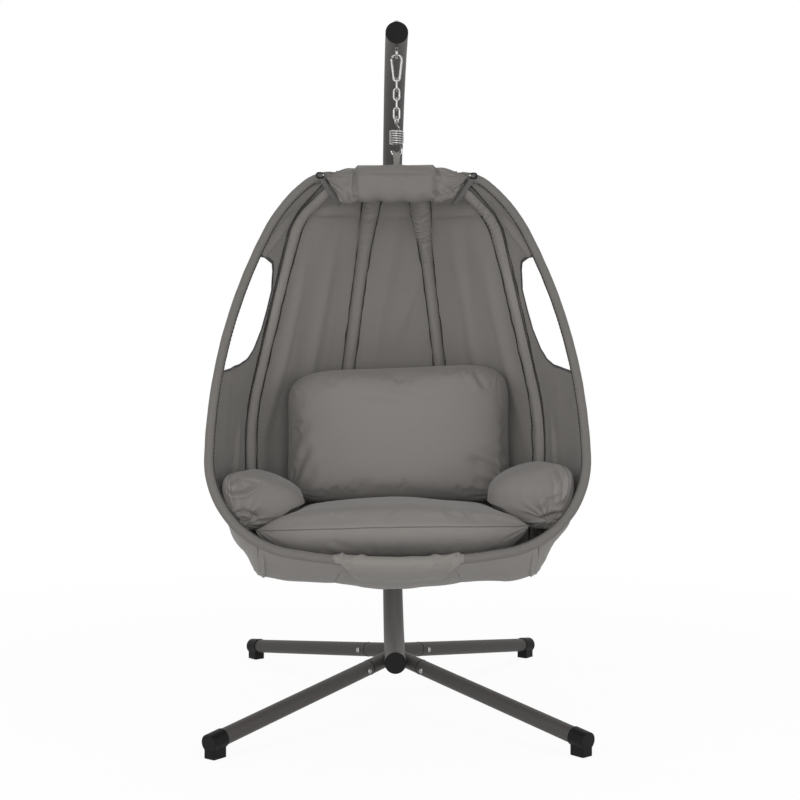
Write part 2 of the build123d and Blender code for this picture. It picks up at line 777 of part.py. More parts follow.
inner_rods = [rib_rods["inner"], mirrored(rib_rods["inner"])]
whole_rim_rods = [rim_sleeve_rod, mirrored(rim_sleeve_rod)]
split = cover_split_share
save(panel(inner, inner_left, cover_top_share, split, 6, inner_rods), "cover_back_centre")
save(panel(inner, inner_left, split, cover_front_share, 5, inner_rods + whole_rim_rods), "cover_seat_centre")
both_rods = [rib_rods["inner"], rib_rods["outer"]]
save_pair(panel(inner, outer, cover_top_share, split, 6, both_rods), "cover_back")
save_pair(panel(inner, outer, split, cover_front_share, 5, both_rods + [rim_sleeve_rod]), "cover_seat")

# Each side panel has an arm window, open from the rim to the outer rib
with BuildPart() as cover_side:
    add(panel(outer, rim_side, side_top_share, side_front_share, 8, [rib_rods["outer"], rim_sleeve_rod]))
    with BuildSketch(Plane.YZ):
        with BuildLine():
            low = Vector(hang_y + window_low_y, bar_z - window_bottom)
            high = Vector(hang_y + window_high_y, bar_z - window_top)
            inmost = Vector(hang_y + window_inmost_y, bar_z - (window_bottom + window_top) / 2)
            front = Vector(hang_y + window_front_y, bar_z - (window_bottom + window_top) / 2)
            ThreePointArc(low, inmost, high)
            ThreePointArc(high, front, low)
        make_face()
    extrude(amount=bar_length * 2, mode=Mode.SUBTRACT)
save_pair(cover_side.part, "cover_side")


def pillow(plane, width, length, crown_up, crown_down, edge, plan):
    """A stuffed cushion, crowned above and below its edge: the plan gives its share of the width along it."""
    with BuildPart() as cushion:
        for station, share in plan:
            rise = (1 - abs(station) ** crown_power) ** crown_fullness + crown_least
            half = share * width / 2
            high = edge / 2 + crown_up * rise
            low = -edge / 2 - crown_down * rise
            with BuildSketch(plane.offset(station * length / 2)):
                with BuildLine():
                    ThreePointArc((-half, edge / 2), (0, high), (half, edge / 2))
                    Line((half, edge / 2), (half, -edge / 2))
                    ThreePointArc((half, -edge / 2), (0, low), (-half, -edge / 2))
                    Line((-half, -edge / 2), (-half, edge / 2))
                make_face()
        loft()
    return cushion.part


seat_plane = Plane(origin=bar_centre + Vector(*seat_offset), x_dir=(-1, 0, 0), z_dir=(0, 1, 0))
seat = pillow(seat_plane, seat_width, seat_length, seat_crown_up, seat_crown_down, seat_edge, seat_plan)
save(seat, "seat_cushion")

back_up = Vector(0, sin(radians(back_lean)), cos(radians(back_lean)))
back_plane = Plane(origin=bar_centre + Vector(*back_offset), x_dir=(1, 0, 0), z_dir=back_up)
save(pillow(back_plane, back_width, back_length, back_crown, back_crown, back_edge, square_plan), "back_cushion")

arm_plane = Plane(
    origin=bar_centre + Vector(*arm_offset),
    x_dir=(-cos(radians(arm_roll)), 0, -sin(radians(arm_roll))),
    z_dir=(0, 1, 0),
)
save_pair(pillow(arm_plane, arm_width, arm_length, arm_crown, arm_crown, arm_edge, bolster_plan), "arm_bolster")

# Head bolster: a pad in front of the top bar, full in the middle and gathered beside it
head_back_y = hang_y - strap_bar_r - strap_t - soft_gap
whole_head = head_stations + [(-share, fullness) for share, fullness in head_stations[-2::-1]]
with BuildPart() as head_bolster:
    for share, fullness in whole_head:
        depth = head_t * fullness
        tall = head_height * (head_least_height + (1 - head_least_height) * fullness)
        start = Vector(share * head_width / 2, head_back_y, bar_z)
        with BuildSketch(Plane(origin=start, x_dir=(0, -1, 0), z_dir=(-1, 0, 0))):
            with BuildLine():
                top = (depth * head_top_share, head_rise)
                foot = (depth * head_foot_share, head_rise - tall)
                Line((0, head_rise), top)
                ThreePointArc(top, (depth, head_rise - tall * head_front_share), foot)
                Line(foot, (0, head_rise - tall))
                Line((0, head_rise - tall), (0, head_rise))
            make_face()
    loft()
save(head_bolster.part, "head_bolster")

# Buckles that hold the bolster to the rim's shoulders
buckle_share = 1 - buckle_inset / rim_path.length
buckle_point = rim_path.position_at(buckle_share)
buckle_lift = rim_sleeve_d / 2 + soft_gap
with BuildPart() as buckle:
    buckle_face = buckle_point + rim_plane.z_dir * buckle_lift
    with BuildSketch(Plane(origin=buckle_face, x_dir=(1, 0, 0), z_dir=rim_plane.z_dir)):
        RectangleRounded(buckle_width, buckle_height, buckle_t / 2)
        with GridLocations(buckle_width / 3, 0, 2, 1):
            Rectangle(buckle_t, buckle_height * buckle_slot_share, mode=Mode.SUBTRACT)
    extrude(amount=buckle_t)
save_pair(buckle.part, "buckle")

# Places of the joints
print("hanging axis y", round(hang_y, 2))
print("eye wire z", round(eye_z - eye_r, 2), "hook wire z", round(hook_bottom_z, 2))
print("link wires z", [round(top - link_span, 2) for top in link_tops])
print("loop top z", round(loop_z + spring_loop_r, 2))
print("gate pivot", front_plane.from_local_coords(gate_pivot), "bar z", round(bar_z, 2))
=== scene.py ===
import json
from math import atan2, cos, exp, pi, radians, sin, sqrt, tan

import bmesh
import bpy
from bpy.props import FloatProperty, FloatVectorProperty, IntProperty, PointerProperty
from mathutils import Matrix, Vector, noise
from mathutils.bvhtree import BVHTree
from mathutils.kdtree import KDTree


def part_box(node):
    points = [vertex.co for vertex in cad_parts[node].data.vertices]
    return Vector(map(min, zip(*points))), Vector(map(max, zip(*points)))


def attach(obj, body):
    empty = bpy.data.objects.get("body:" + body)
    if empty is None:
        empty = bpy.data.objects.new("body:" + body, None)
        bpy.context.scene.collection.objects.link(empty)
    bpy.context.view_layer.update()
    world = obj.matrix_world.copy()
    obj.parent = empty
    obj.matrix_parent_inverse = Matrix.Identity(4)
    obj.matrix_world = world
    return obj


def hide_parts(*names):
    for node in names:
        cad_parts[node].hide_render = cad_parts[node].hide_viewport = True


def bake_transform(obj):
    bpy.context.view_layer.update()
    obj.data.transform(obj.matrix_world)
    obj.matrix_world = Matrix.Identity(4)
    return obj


bl_info = {
    "name": "Hanging chair dresser",
    "version": (1, 0, 0),
    "blender": (4, 5, 0),
    "location": "View3D > Sidebar > Hanging chair",
    "description": "Covers, cushions, finishes and studio for a hanging chair",
    "category": "Object",
}

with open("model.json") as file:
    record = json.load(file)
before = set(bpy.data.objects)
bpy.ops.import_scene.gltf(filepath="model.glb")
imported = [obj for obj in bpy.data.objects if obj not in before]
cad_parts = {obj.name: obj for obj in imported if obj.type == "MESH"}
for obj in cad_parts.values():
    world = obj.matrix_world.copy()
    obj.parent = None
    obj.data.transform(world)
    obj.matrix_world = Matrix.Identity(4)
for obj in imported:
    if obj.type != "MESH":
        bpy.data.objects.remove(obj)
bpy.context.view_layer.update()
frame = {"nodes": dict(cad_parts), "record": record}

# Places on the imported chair, in metres
BAR = Vector((0.0, -0.32419, 1.45963))
BASKET_MIDDLE = BAR + Vector((0.0, 0.08, -0.6))
LEAN = radians(14.8)
RIM_UP = Vector((0.0, sin(LEAN), cos(LEAN)))
RIM_FRONT = Vector((0.0, -cos(LEAN), sin(LEAN)))

# Radius and turn in degrees of the rim's bends, from its foot up to the bar
RIM_BENDS = ((1.5, 10.4), (0.245, 79.6), (1.4, 25.4), (0.413, 22.6), (0.1, 42.0))

# Where the ribs leave the bar, where they meet the rim, and their corners from the bar, each with its radius
INNER_START, INNER_ON_RIM = 0.050, 0.140
OUTER_START, OUTER_ON_RIM = 0.138, 0.346
INNER_CORNERS = (
    (0.076, 0.228, -0.089, 0.45),
    (0.145, 0.383, -0.609, 0.70),
    (0.178, 0.296, -0.973, 0.30),
    (0.160, -0.114, -1.081, 0.35),
)
OUTER_CORNERS = (
    (0.266, 0.075, -0.109, 0.15),
    (0.402, 0.180, -0.640, 0.45),
    (0.392, 0.135, -0.989, 0.17),
    (0.342, -0.150, -1.040, 0.15),
)

# The arm window's rear edge: shares of the side panel's length and of its width
WINDOW_EDGE = ((0.1935, 1.0), (0.1973, 0.63), (0.2064, 0.36), (0.2200, 0.27), (0.2553, 0.15), (0.2951, 0.14),
               (0.3317, 0.15), (0.3684, 0.22), (0.3880, 0.31), (0.3990, 0.44), (0.4065, 0.70), (0.4105, 1.0))
SIDES = (("right", 1.0), ("left", -1.0))

# The stand's legs, and where the thin black rings of painted shade at its tube joints lie
LEG_TURN, LEG_FALL = radians(51.0), radians(7.6)
HUB_SIDE, HUB_HEIGHT = 0.036, 0.135
LEG_LINE_REACH, LEG_LINE_RADIUS = 0.118, 0.0210
POLE_LINE_REACH, POLE_LINE_RADIUS = 0.091, 0.0300


class ChairCloth(bpy.types.PropertyGroup):
    # The cover is the cushions' cloth made a little paler: painted light on the shaded inside of the basket.
    cover_colour: FloatVectorProperty(
        name="Cover colour", description="Woven cloth of the basket", subtype="COLOR", size=3,
        default=(0.163, 0.154, 0.144))
    cushion_colour: FloatVectorProperty(
        name="Cushion colour", description="Woven cloth of the cushions", subtype="COLOR", size=3,
        default=(0.155, 0.146, 0.137))
    thread_colour: FloatVectorProperty(
        name="Thread colour", description="Seams of the sleeves and cushions", subtype="COLOR", size=3,
        default=(0.022, 0.020, 0.019))
    binding_colour: FloatVectorProperty(
        name="Binding colour", description="Tape round the arm windows", subtype="COLOR", size=3,
        default=(0.016, 0.015, 0.015))
    weave_pitch: FloatProperty(
        name="Weave pitch", description="Distance between two yarns", unit="LENGTH", default=0.0011)
    fold_depth: FloatProperty(
        name="Fold depth", description="Height of the soft folds in the panels", unit="LENGTH", default=0.006)
    sleeve_gather: FloatProperty(
        name="Sleeve gathers", description="Height of the gathers along the sleeves", unit="LENGTH",
        default=0.0022)
    puff: FloatProperty(
        name="Filling pressure", description="Pressure of the filling while the cushions swell", default=3.5)
    puff_frames: IntProperty(
        name="Filling steps", description="Steps of swelling for each cushion", default=16)


class ChairMetal(bpy.types.PropertyGroup):
    tube_colour: FloatVectorProperty(
        name="Tube colour", description="Powder coat of the stand and frame", subtype="COLOR", size=3,
        default=(0.052, 0.048, 0.045))
    zinc_colour: FloatVectorProperty(
        name="Zinc colour", description="Plated chain, hook, spring and bolts", subtype="COLOR", size=3,
        default=(0.30, 0.295, 0.29))
    cap_colour: FloatVectorProperty(
        name="Cap colour", description="Feet, end plugs and buckles", subtype="COLOR", size=3,
        default=(0.0065, 0.006, 0.006))


class ChairStage(bpy.types.PropertyGroup):
    lens: FloatProperty(
        name="Lens", description="Focal length of the camera", default=59.9)
    camera_place: FloatVectorProperty(
        name="Camera place", description="Where the camera stands", subtype="TRANSLATION", size=3,
        default=(-0.072, -3.844, 0.9105))
    front_power: FloatProperty(
        name="Front light", description="Power of the large light over the camera", subtype="POWER",
        default=126.0)
    key_power: FloatProperty(
        name="Key light", description="Power of the light at the left", subtype="POWER", default=52.0)
    sky: FloatProperty(
        name="Sky", description="Strength of the even light from all round", default=0.5)


class Wire:
    """An output of a finish's nodes that takes part in sums."""

    def __init__(self, finish, socket):
        self.finish = finish
        self.socket = socket

    def sum(self, how, a, b):
        return self.finish.node("ShaderNodeMath", {"operation": how}, {0: a, 1: b})

    def __add__(self, other):
        return self.sum("ADD", self, other)

    __radd__ = __add__

    def __mul__(self, other):
        return self.sum("MULTIPLY", self, other)

    __rmul__ = __mul__


class Finish:
    """A material that is written as expressions."""

    def __init__(self, name, world=None):
        self.material = world or bpy.data.materials.new(name)
        self.material.use_nodes = True
        self.tree = self.material.node_tree
        self.tree.nodes.clear()

    def node(self, kind, settings=None, sockets=None, out=0):
        made = self.tree.nodes.new(kind)
        for key, value in (settings or {}).items():
            if key == "stops":
                ramp = made.color_ramp
                for index, (place, shade) in enumerate(value):
                    stop = ramp.elements[index] if index < 2 else ramp.elements.new(place)
                    stop.position = place
                    stop.color = (*shade, 1.0)
            else:
                setattr(made, key, value)
        for key, value in (sockets or {}).items():
            if isinstance(value, Wire):
                self.tree.links.new(value.socket, made.inputs[key])
            else:
                made.inputs[key].default_value = value
        return Wire(self, made.outputs[out]) if made.outputs else None

    def close(self, shader):
        self.node("ShaderNodeOutputMaterial", None, {"Surface": shader})
        return self.material

    def place(self, kind="Object"):
        return self.node("ShaderNodeTexCoord", None, None, kind)

    def noise(self, place, scale, detail=3.0, rough=0.5, out="Fac"):
        return self.node("ShaderNodeTexNoise", None, {
            "Vector": place, "Scale": scale, "Detail": detail, "Roughness": rough}, out)

    def stretched(self, place, scale):
        return self.node("ShaderNodeMapping", None, {"Vector": place, "Scale": scale})

    def between(self, share, low, high):
        return self.node("ShaderNodeMapRange", None, {"Value": share, "To Min": low, "To Max": high})

    def tint(self, colour, share, swing):
        """The colour, darker or paler by a share of its strength."""
        strength = self.between(share, 1.0 - swing, 1.0 + swing)
        return self.node("ShaderNodeVectorMath", {"operation": "SCALE"}, {0: colour, "Scale": strength})

    def bump(self, height, strength, depth):
        return self.node("ShaderNodeBump", None, {"Height": height, "Strength": strength, "Distance": depth})

    def seen(self):
        """1 for what the camera sees straight, mirrored or through glass, and 0 for light on the object."""
        rays = [self.node("ShaderNodeLightPath", None, None, f"Is {kind} Ray")
                for kind in ("Camera", "Glossy", "Transmission")]
        return rays[0] + rays[1] + rays[2]

    def surface(self, **sockets):
        names = {key.replace("_", " ").title().replace("Ior", "IOR"): value for key, value in sockets.items()}
        return self.close(self.node("ShaderNodeBsdfPrincipled", None, names))


def cloth_finish(name, colour, pitch, sheen=0.12, slub=0.06):
    """Plain woven cloth: yarns over and under, uneven yarn thickness and a soft sheen."""
    woven = Finish(name)
    flat = woven.place("UV")
    yarns = woven.node("ShaderNodeVectorMath", {"operation": "SCALE"}, {0: flat, "Scale": 1.0 / pitch})
    across, along = [woven.node("ShaderNodeSeparateXYZ", None, {0: yarns}, way) for way in (0, 1)]
    warp = woven.node("ShaderNodeMath", {"operation": "SINE"}, {0: across * pi})
    weft = woven.node("ShaderNodeMath", {"operation": "SINE"}, {0: along * pi})
    weave = warp * weft
    slubs = woven.noise(woven.stretched(flat, (700.0, 26.0, 1.0)), 1.0, 2.0)
    crossing = woven.noise(woven.stretched(flat, (22.0, 620.0, 1.0)), 1.0, 2.0)
    mottle = woven.noise(woven.place(), 5.5, 4.0, 0.6)
    puckers = woven.noise(woven.place(), 30.0, 3.0, 0.55)
    share = slubs * 0.3 + crossing * 0.25 + mottle * 0.45
    height = weave * 0.35 + slubs * 0.5 + crossing * 0.4 + puckers * 9.0
    return woven.surface(
        base_color=woven.tint((*colour,), share, slub * 2.4),
        roughness=woven.between(mottle, 0.68, 0.88),
        sheen_weight=sheen,
        sheen_roughness=0.45,
        specular_ior_level=0.22,
        normal=woven.bump(height, 0.32, 0.0004),
    )


def thread_finish(name, colour):
    """Sewing thread in a seam: short twisted stitches."""
    thread = Finish(name)
    flat = thread.place("UV")
    stitches = thread.node("ShaderNodeTexWave", {"wave_type": "BANDS", "bands_direction": "Y"}, {
        "Vector": flat, "Scale": 78.0, "Distortion": 1.2})
    fuzz = thread.noise(thread.place(), 900.0, 2.0)
    return thread.surface(
        base_color=thread.tint((*colour,), stitches, 0.45),
        roughness=thread.between(fuzz, 0.7, 0.9),
        normal=thread.bump(stitches * 0.7 + fuzz * 0.3, 0.6, 0.0008),
    )


def tape_finish(name, colour, pitch=0.0022):
    """Woven tape: close diagonal ribs."""
    tape = Finish(name)
    flat = tape.place("UV")
    ribs = tape.node("ShaderNodeTexWave", {"wave_type": "BANDS", "bands_direction": "DIAGONAL"}, {
        "Vector": flat, "Scale": 0.16 / pitch, "Distortion": 0.6, "Detail": 1.0})
    fuzz = tape.noise(tape.place(), 420.0, 3.0)
    return tape.surface(
        base_color=tape.tint((*colour,), ribs * 0.6 + fuzz * 0.4, 0.28),
        roughness=tape.between(fuzz, 0.62, 0.85),
        sheen_weight=0.15,
        normal=tape.bump(ribs * 0.8 + fuzz * 0.2, 0.5, 0.0006),
    )


def paint_finish(name, colour):
    """Semi-gloss powder coat: a fine peel, faint cloudy gloss and a little dust."""
    paint = Finish(name)
    where = paint.place()
    peel = paint.noise(where, 620.0, 2.0)
    cloud = paint.noise(where, 9.0, 4.0, 0.6)
    dust = paint.noise(paint.stretched(where, (30.0, 30.0, 12.0)), 1.0, 6.0, 0.7)
    return paint.surface(
        base_color=paint.tint((*colour,), cloud * 0.5 + dust * 0.5, 0.16),
        roughness=paint.between(cloud * 0.6 + dust * 0.4, 0.40, 0.60),
        specular_ior_level=0.18,
        normal=paint.bump(peel, 0.12, 0.0004),
    )


def plastic_finish(name, colour):
    """Moulded satin plastic with a fine stipple and rubbed patches."""
    plastic = Finish(name)
    where = plastic.place()
    stipple = plastic.noise(where, 1500.0, 2.0)
    rubbed = plastic.noise(where, 38.0, 5.0, 0.65)
    return plastic.surface(
        base_color=plastic.tint((*colour,), rubbed, 0.35),
        roughness=plastic.between(rubbed, 0.36, 0.58),
        specular_ior_level=0.10,
        normal=plastic.bump(stipple, 0.18, 0.0003),
    )


def zinc_finish(name, colour):
    """Bright plated steel with drawing marks and dull spots."""
    zinc = Finish(name)
    where = zinc.place()
    drawn = zinc.noise(zinc.stretched(where, (900.0, 900.0, 90.0)), 1.0, 2.0)
    dull = zinc.noise(where, 160.0, 4.0, 0.7)
    return zinc.surface(
        base_color=zinc.tint((*colour,), dull, 0.14),
        metallic=1.0,
        roughness=zinc.between(dull * 0.7 + drawn * 0.3, 0.14, 0.36),
        normal=zinc.bump(drawn * 0.6 + dull * 0.4, 0.12, 0.0002),
    )


class Route:
    """A line that is read by the share of its length."""

    def __init__(self, points):
        self.points = points
        self.reach = [0.0]
        for before, after in zip(points, points[1:]):
            self.reach.append(self.reach[-1] + (after - before).length)
        self.length = self.reach[-1]

    def at(self, share):
        want = min(max(share, 0.0), 1.0) * self.length
        low, high = 0, len(self.points) - 1
        while high - low > 1:
            middle = (low + high) // 2
            if self.reach[middle] <= want:
                low = middle
            else:
                high = middle
        run = self.reach[high] - self.reach[low]
        return self.points[low].lerp(self.points[high], (want - self.reach[low]) / run if run else 0.0)

    def way(self, share):
        step = 0.004
        return (self.at(share + step) - self.at(share - step)).normalized()


def bent_route(bends):
    """A flat line of tangent arcs, from the origin along X."""
    points, heading, here = [Vector((0.0, 0.0))], 0.0, Vector((0.0, 0.0))
    for radius, turn in bends:
        steps = max(2, int(turn / 2.5))
        for _ in range(steps):
            half = radians(turn / steps) / 2
            heading += half
            here = here + Vector((cos(heading), sin(heading))) * 2 * radius * sin(half)
            heading += half
            points.append(here)
    return points


def rounded_route(points, radii):
    """Straight runs whose corners are rounded by arcs."""
    line = [points[0]]
    for before, corner, after, radius in zip(points, points[1:], points[2:], radii):
        back, on = (before - corner).normalized(), (after - corner).normalized()
        half = back.angle(on) / 2
        reach = radius / tan(half)
        middle = corner + (back + on).normalized() * radius / sin(half)
        start, stop = corner + back * reach - middle, corner + on * reach - middle
        turn = start.angle(stop)
        for step in range(13):
            share = step / 12
            line.append(middle + (start * sin((1.0 - share) * turn) + stop * sin(share * turn)) / sin(turn))
    return line + [points[-1]]


def rim_line():
    flat = bent_route(RIM_BENDS)
    foot = BAR - RIM_UP * flat[-1].y
    return Route([foot + Vector((p.x, 0.0, 0.0)) + RIM_UP * p.y for p in flat])


RIM = rim_line()


def rib_line(start, corners, on_rim):
    points = [BAR + Vector((start, 0.0, 0.0))]
    points += [BAR + Vector(corner[:3]) for corner in corners]
    points.append(RIM.at(on_rim / RIM.length))
    return Route(rounded_route(points, [corner[3] for corner in corners]))


INNER = rib_line(INNER_START, INNER_CORNERS, INNER_ON_RIM)
OUTER = rib_line(OUTER_START, OUTER_CORNERS, OUTER_ON_RIM)


def flip(point, side):
    return Vector((point.x * side, point.y, point.z))


def rim_side(share):
    """The rim from its top end down to the outer rib's foot."""
    return RIM.at(1.0 - share * (1.0 - OUTER_ON_RIM / RIM.length))


def rim_level(share):
    """The rim about level with the outer rib at a share of it."""
    return rim_side(share + 0.17 * max(sin(pi * share), 0.0) ** 1.3)


def soft(edge0, edge1, value):
    share = min(max((value - edge0) / (edge1 - edge0), 0.0), 1.0)
    return share * share * (3.0 - 2.0 * share)


def hill(value, middle, width):
    return exp(-(((value - middle) / width) ** 2))


def gathers(run, seed):
    """Rounded hills with sharp valleys, uneven in step and height, from 0 to 1."""
    wander = noise.noise(Vector((run * 0.7, seed, 3.1)))
    height = 0.65 + 0.35 * noise.noise(Vector((run * 0.45, seed, 7.7)))
    return abs(sin(pi * (run + 0.9 * wander))) * height


def new_object(name, mesh_maker):
    """An object at the origin from a bmesh, shaded smooth."""
    mesh = bpy.data.meshes.new(name)
    mesh_maker.normal_update()
    mesh_maker.to_mesh(mesh)
    mesh_maker.free()
    for face in mesh.polygons:
        face.use_smooth = True
    piece = bpy.data.objects.new(name, mesh)
    bpy.context.scene.collection.objects.link(piece)
    return piece


def dressed(piece, material, body, slot, *nodes):
    """Gives a piece its finish and body, and hides the solids that it stands for; the slot is not used."""
    piece.data.materials.clear()
    piece.data.materials.append(material)
    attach(piece, body)
    if nodes:
        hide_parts(*nodes)
    return piece


def cloth_grid(columns, rows, surface, lay):
    """A grid laid on a surface of two shares, with the flat cloth's metres as its UV map."""
    shape = bmesh.new()
    flat = shape.loops.layers.uv.new("UVMap")
    bmesh.ops.create_grid(shape, x_segments=columns, y_segments=rows, size=0.5)
    shares = {}
    for vert in shape.verts:
        shares[vert] = (vert.co.x + 0.5, vert.co.y + 0.5)
        vert.co = surface(*shares[vert])
    for face in shape.faces:
        for loop in face.loops:
            loop[flat].uv = lay(*shares[loop.vert])
    return shape


def tube_piece(name, route, around, profile, rows, closed=False, capped=True, segments=8):
    """A piece along a route; the profile is its reach sideways and outwards at a share of the route and turn.

    One with no caps is a strip whose two long edges meet.
    """
    points = [route(step / rows) for step in range(rows + 1)]
    length = sum((b - a).length for a, b in zip(points, points[1:]))
    rings = []
    for step, centre in enumerate(points):
        before = points[step - 1] if step else points[-2] if closed else points[0]
        after = points[step + 1] if step < rows else points[1] if closed else points[-1]
        way = (after - before).normalized()
        out = around(step / rows, centre)
        out = (out - way * out.dot(way)).normalized()
        rings.append((centre, way.cross(out), out))

    def surface(turn, share):
        centre, side, out = rings[round(share * rows)]
        wide, tall = profile(share, turn)
        return centre + side * wide + out * tall

    shape = cloth_grid(segments, rows, surface, lambda turn, share: (turn * 0.08, share * length))
    if capped or closed:
        bmesh.ops.remove_doubles(shape, verts=shape.verts, dist=1e-6)
    if capped and not closed:
        bmesh.ops.holes_fill(shape, edges=[edge for edge in shape.edges if edge.is_boundary], sides=0)
    bmesh.ops.recalc_face_normals(shape, faces=shape.faces)
    return new_object(name, shape)


def away_from(middle):
    """The way out of a piece at each place of its route, from a point inside the route."""
    return lambda share, centre: centre - middle


def oval(wide, tall):
    """The profile of a bead that is the same all along."""
    return lambda share, turn: (wide * cos(2.0 * pi * turn), tall * sin(2.0 * pi * turn))


def thicken(piece, thickness):
    wall = piece.modifiers.new("Thickness", "SOLIDIFY")
    wall.thickness = thickness
    wall.offset = 0.0
    return piece


def cloth():
    return bpy.context.scene.chair_cloth


def metal():
    return bpy.context.scene.chair_metal


def shade(share, colour):
    return [share * c for c in colour]


def finish(name):
    """A shared finish, made the first time it is asked for."""
    if name in bpy.data.materials:
        return bpy.data.materials[name]
    cover, cushion, pitch = cloth().cover_colour, cloth().cushion_colour, cloth().weave_pitch
    makers = {
        "cover cloth": lambda: cloth_finish(name, cover, pitch),
        # The rim's sleeve has the cover's cloth darkened to 0.66 of it: painted shade.
        "rim cloth with painted shade": lambda: cloth_finish(name, shade(0.66, cover), pitch),
        # The head bolster has the cushions' cloth darkened to 0.78 of it: painted shade.
        "head cloth with painted shade": lambda: cloth_finish(name, shade(0.78, cushion), pitch),
        "cushion cloth": lambda: cloth_finish(name, cushion, pitch, 0.15),
        "seam thread": lambda: thread_finish(name, cloth().thread_colour),
        "cushion thread": lambda: thread_finish(name, shade(0.55, cushion)),
        "window binding": lambda: tape_finish(name, cloth().binding_colour),
        "strap webbing": lambda: tape_finish(name, shade(0.8, cover)),
        "dark strap": lambda: tape_finish(name, shade(0.4, cover)),
        "powder coat": lambda: paint_finish(name, metal().tube_colour),
        "zinc plate": lambda: zinc_finish(name, metal().zinc_colour),
        "black plastic": lambda: plastic_finish(name, metal().cap_colour),
    }
    return makers[name]()


class CHAIR_OT_metal(bpy.types.Operator):
    """Give the stand, frame, hardware and caps their finishes"""
    bl_idname = "hanging_chair.metal"
    bl_label = "Finish the metal and caps"

    def execute(self, context):
        by_slot = {"tube_paint": "powder coat", "zinc": "zinc plate", "black_plastic": "black plastic"}
        for entry in frame["record"]["subparts"]:
            name = by_slot.get(entry["material_slot"])
            if name:
                node = frame["nodes"][entry["node"]]
                node.data.materials.clear()
                node.data.materials.append(finish(name))
        return {"FINISHED"}


class CHAIR_OT_joints(bpy.types.Operator):
    """Mark the joints of the stand's tubes with thin black rings: painted shade of the grooves there"""
    bl_idname = "hanging_chair.joints"
    bl_label = "Joint lines"

    def ring(self, name, middle, axis, radius):
        across = axis.orthogonal().normalized()
        along = axis.cross(across)

        def loop(share):
            return middle + (across * cos(2.0 * pi * share) + along * sin(2.0 * pi * share)) * radius

        # The black ring paints the shade in the joint's groove.
        piece = tube_piece(name, loop, away_from(middle), oval(0.0013, 0.0008), 72, closed=True)
        dressed(piece, finish("black plastic"), "stand", "black_plastic")

    def execute(self, context):
        low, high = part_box("pole_middle")
        pole = (low + high) / 2
        for word, reach in (("lower", -POLE_LINE_REACH), ("upper", POLE_LINE_REACH)):
            self.ring(f"pole_line_{word}", pole + Vector((0.0, 0.0, reach)), Vector((0.0, 0.0, 1.0)),
                      POLE_LINE_RADIUS)
        level = cos(LEG_FALL)
        for word, side in SIDES:
            for end, back in (("front", -1.0), ("rear", 1.0)):
                way = Vector((side * cos(LEG_TURN) * level, back * sin(LEG_TURN) * level, -sin(LEG_FALL)))
                hub = Vector((0.0, back * HUB_SIDE, HUB_HEIGHT))
                self.ring(f"leg_line_{end}_{word}", hub + way * LEG_LINE_REACH, way, LEG_LINE_RADIUS)
        return {"FINISHED"}


class CHAIR_OT_spring(bpy.types.Operator):
    """Put in the spring, as a copy of the imported one"""
    bl_idname = "hanging_chair.spring"
    bl_label = "Spring"

    def execute(self, context):
        shape = bmesh.new()
        shape.from_mesh(frame["nodes"]["spring"].data)
        bmesh.ops.remove_doubles(shape, verts=shape.verts, dist=1e-5)
        piece = new_object("stretching_spring", shape)
        piece.data.materials.append(finish("zinc plate"))
        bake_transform(piece)
        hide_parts("spring")
        return {"FINISHED"}


class CHAIR_OT_webbing(bpy.types.Operator):
    """Sew the webbing loop that carries the top bar"""
    bl_idname = "hanging_chair.webbing"
    bl_label = "Webbing loop"

    def execute(self, context):
        top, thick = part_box("webbing_loop")[1].z - 0.0062, 0.0026
        above, below = 0.0052, 0.0165

        def outline(share):
            run = share * 4.0
            span = top - BAR.z
            if run < 1.0:
                angle = pi * run
                return Vector((above * cos(angle), span + above * sin(angle)))
            if run < 2.0:
                return Vector((-above, span)).lerp(Vector((-below, 0.0)), run - 1.0)
            if run < 3.0:
                angle = pi + pi * (run - 2.0)
                return Vector((below * cos(angle), below * sin(angle)))
            return Vector((below, 0.0)).lerp(Vector((above, span)), run - 3.0)

        def surface(across, share):
            point = outline(share)
            lift = soft(0.55, 1.0, point.y / (top - BAR.z))
            x = (across - 0.5) * (0.0150 + 0.0040 * lift)
            bow = 0.0107 - sqrt(max(0.0107**2 - x * x, 0.0))
            return Vector((x, BAR.y + point.x, BAR.z + point.y + bow * lift))

        shape = cloth_grid(10, 96, surface, lambda across, share: (across * 0.018, share * 0.22))
        bmesh.ops.remove_doubles(shape, verts=shape.verts, dist=1e-6)
        bmesh.ops.recalc_face_normals(shape, faces=shape.faces)
        piece = thicken(new_object("webbing_strap", shape), thick)
        dressed(piece, finish("strap webbing"), "chair", "webbing", "webbing_loop")
        return {"FINISHED"}


def outward(point, way):
    """The way out of the basket, square to a line on it."""
    out = point - BASKET_MIDDLE
    return (out - way * out.dot(way)).normalized()


def outer_face(rib, reach=0.0112):
    """The line on the outer face of a rib, where two panels meet."""
    shares = [step / 240 for step in range(241)]
    return Route([rib.at(s) + outward(rib.at(s), rib.way(s)) * reach for s in shares])


INNER_FACE = outer_face(INNER)
OUTER_FACE = outer_face(OUTER)


def crease(x, y, points, width):
    """A crease along points, fading at its ends: 1 on its line, a low ridge beside it, 0 away from it."""
    reach = 4.0 * width
    near, along = reach, 0.0
    for index, ((x0, y0), (x1, y1)) in enumerate(zip(points, points[1:])):
        dx, dy = x1 - x0, y1 - y0
        run = dx * dx + dy * dy
        share = min(max(((x - x0) * dx + (y - y0) * dy) / run, -0.2 if index == 0 else 0.0), 1.2)
        if index < len(points) - 2:
            share = min(share, 1.0)
        off = sqrt((x - x0 - dx * share) ** 2 + (y - y0 - dy * share) ** 2)
        if off < abs(near):
            near = off if (x - x0) * dy > (y - y0) * dx else -off
            along = (index + share) / (len(points) - 1)
    if abs(near) >= reach:
        return 0.0
    across = exp(-((near / width) ** 2)) - 0.5 * exp(-(((near - 2.2 * width) / (1.4 * width)) ** 2))
    return across * soft(-0.2, 0.25, along) * soft(1.2, 0.75, along)


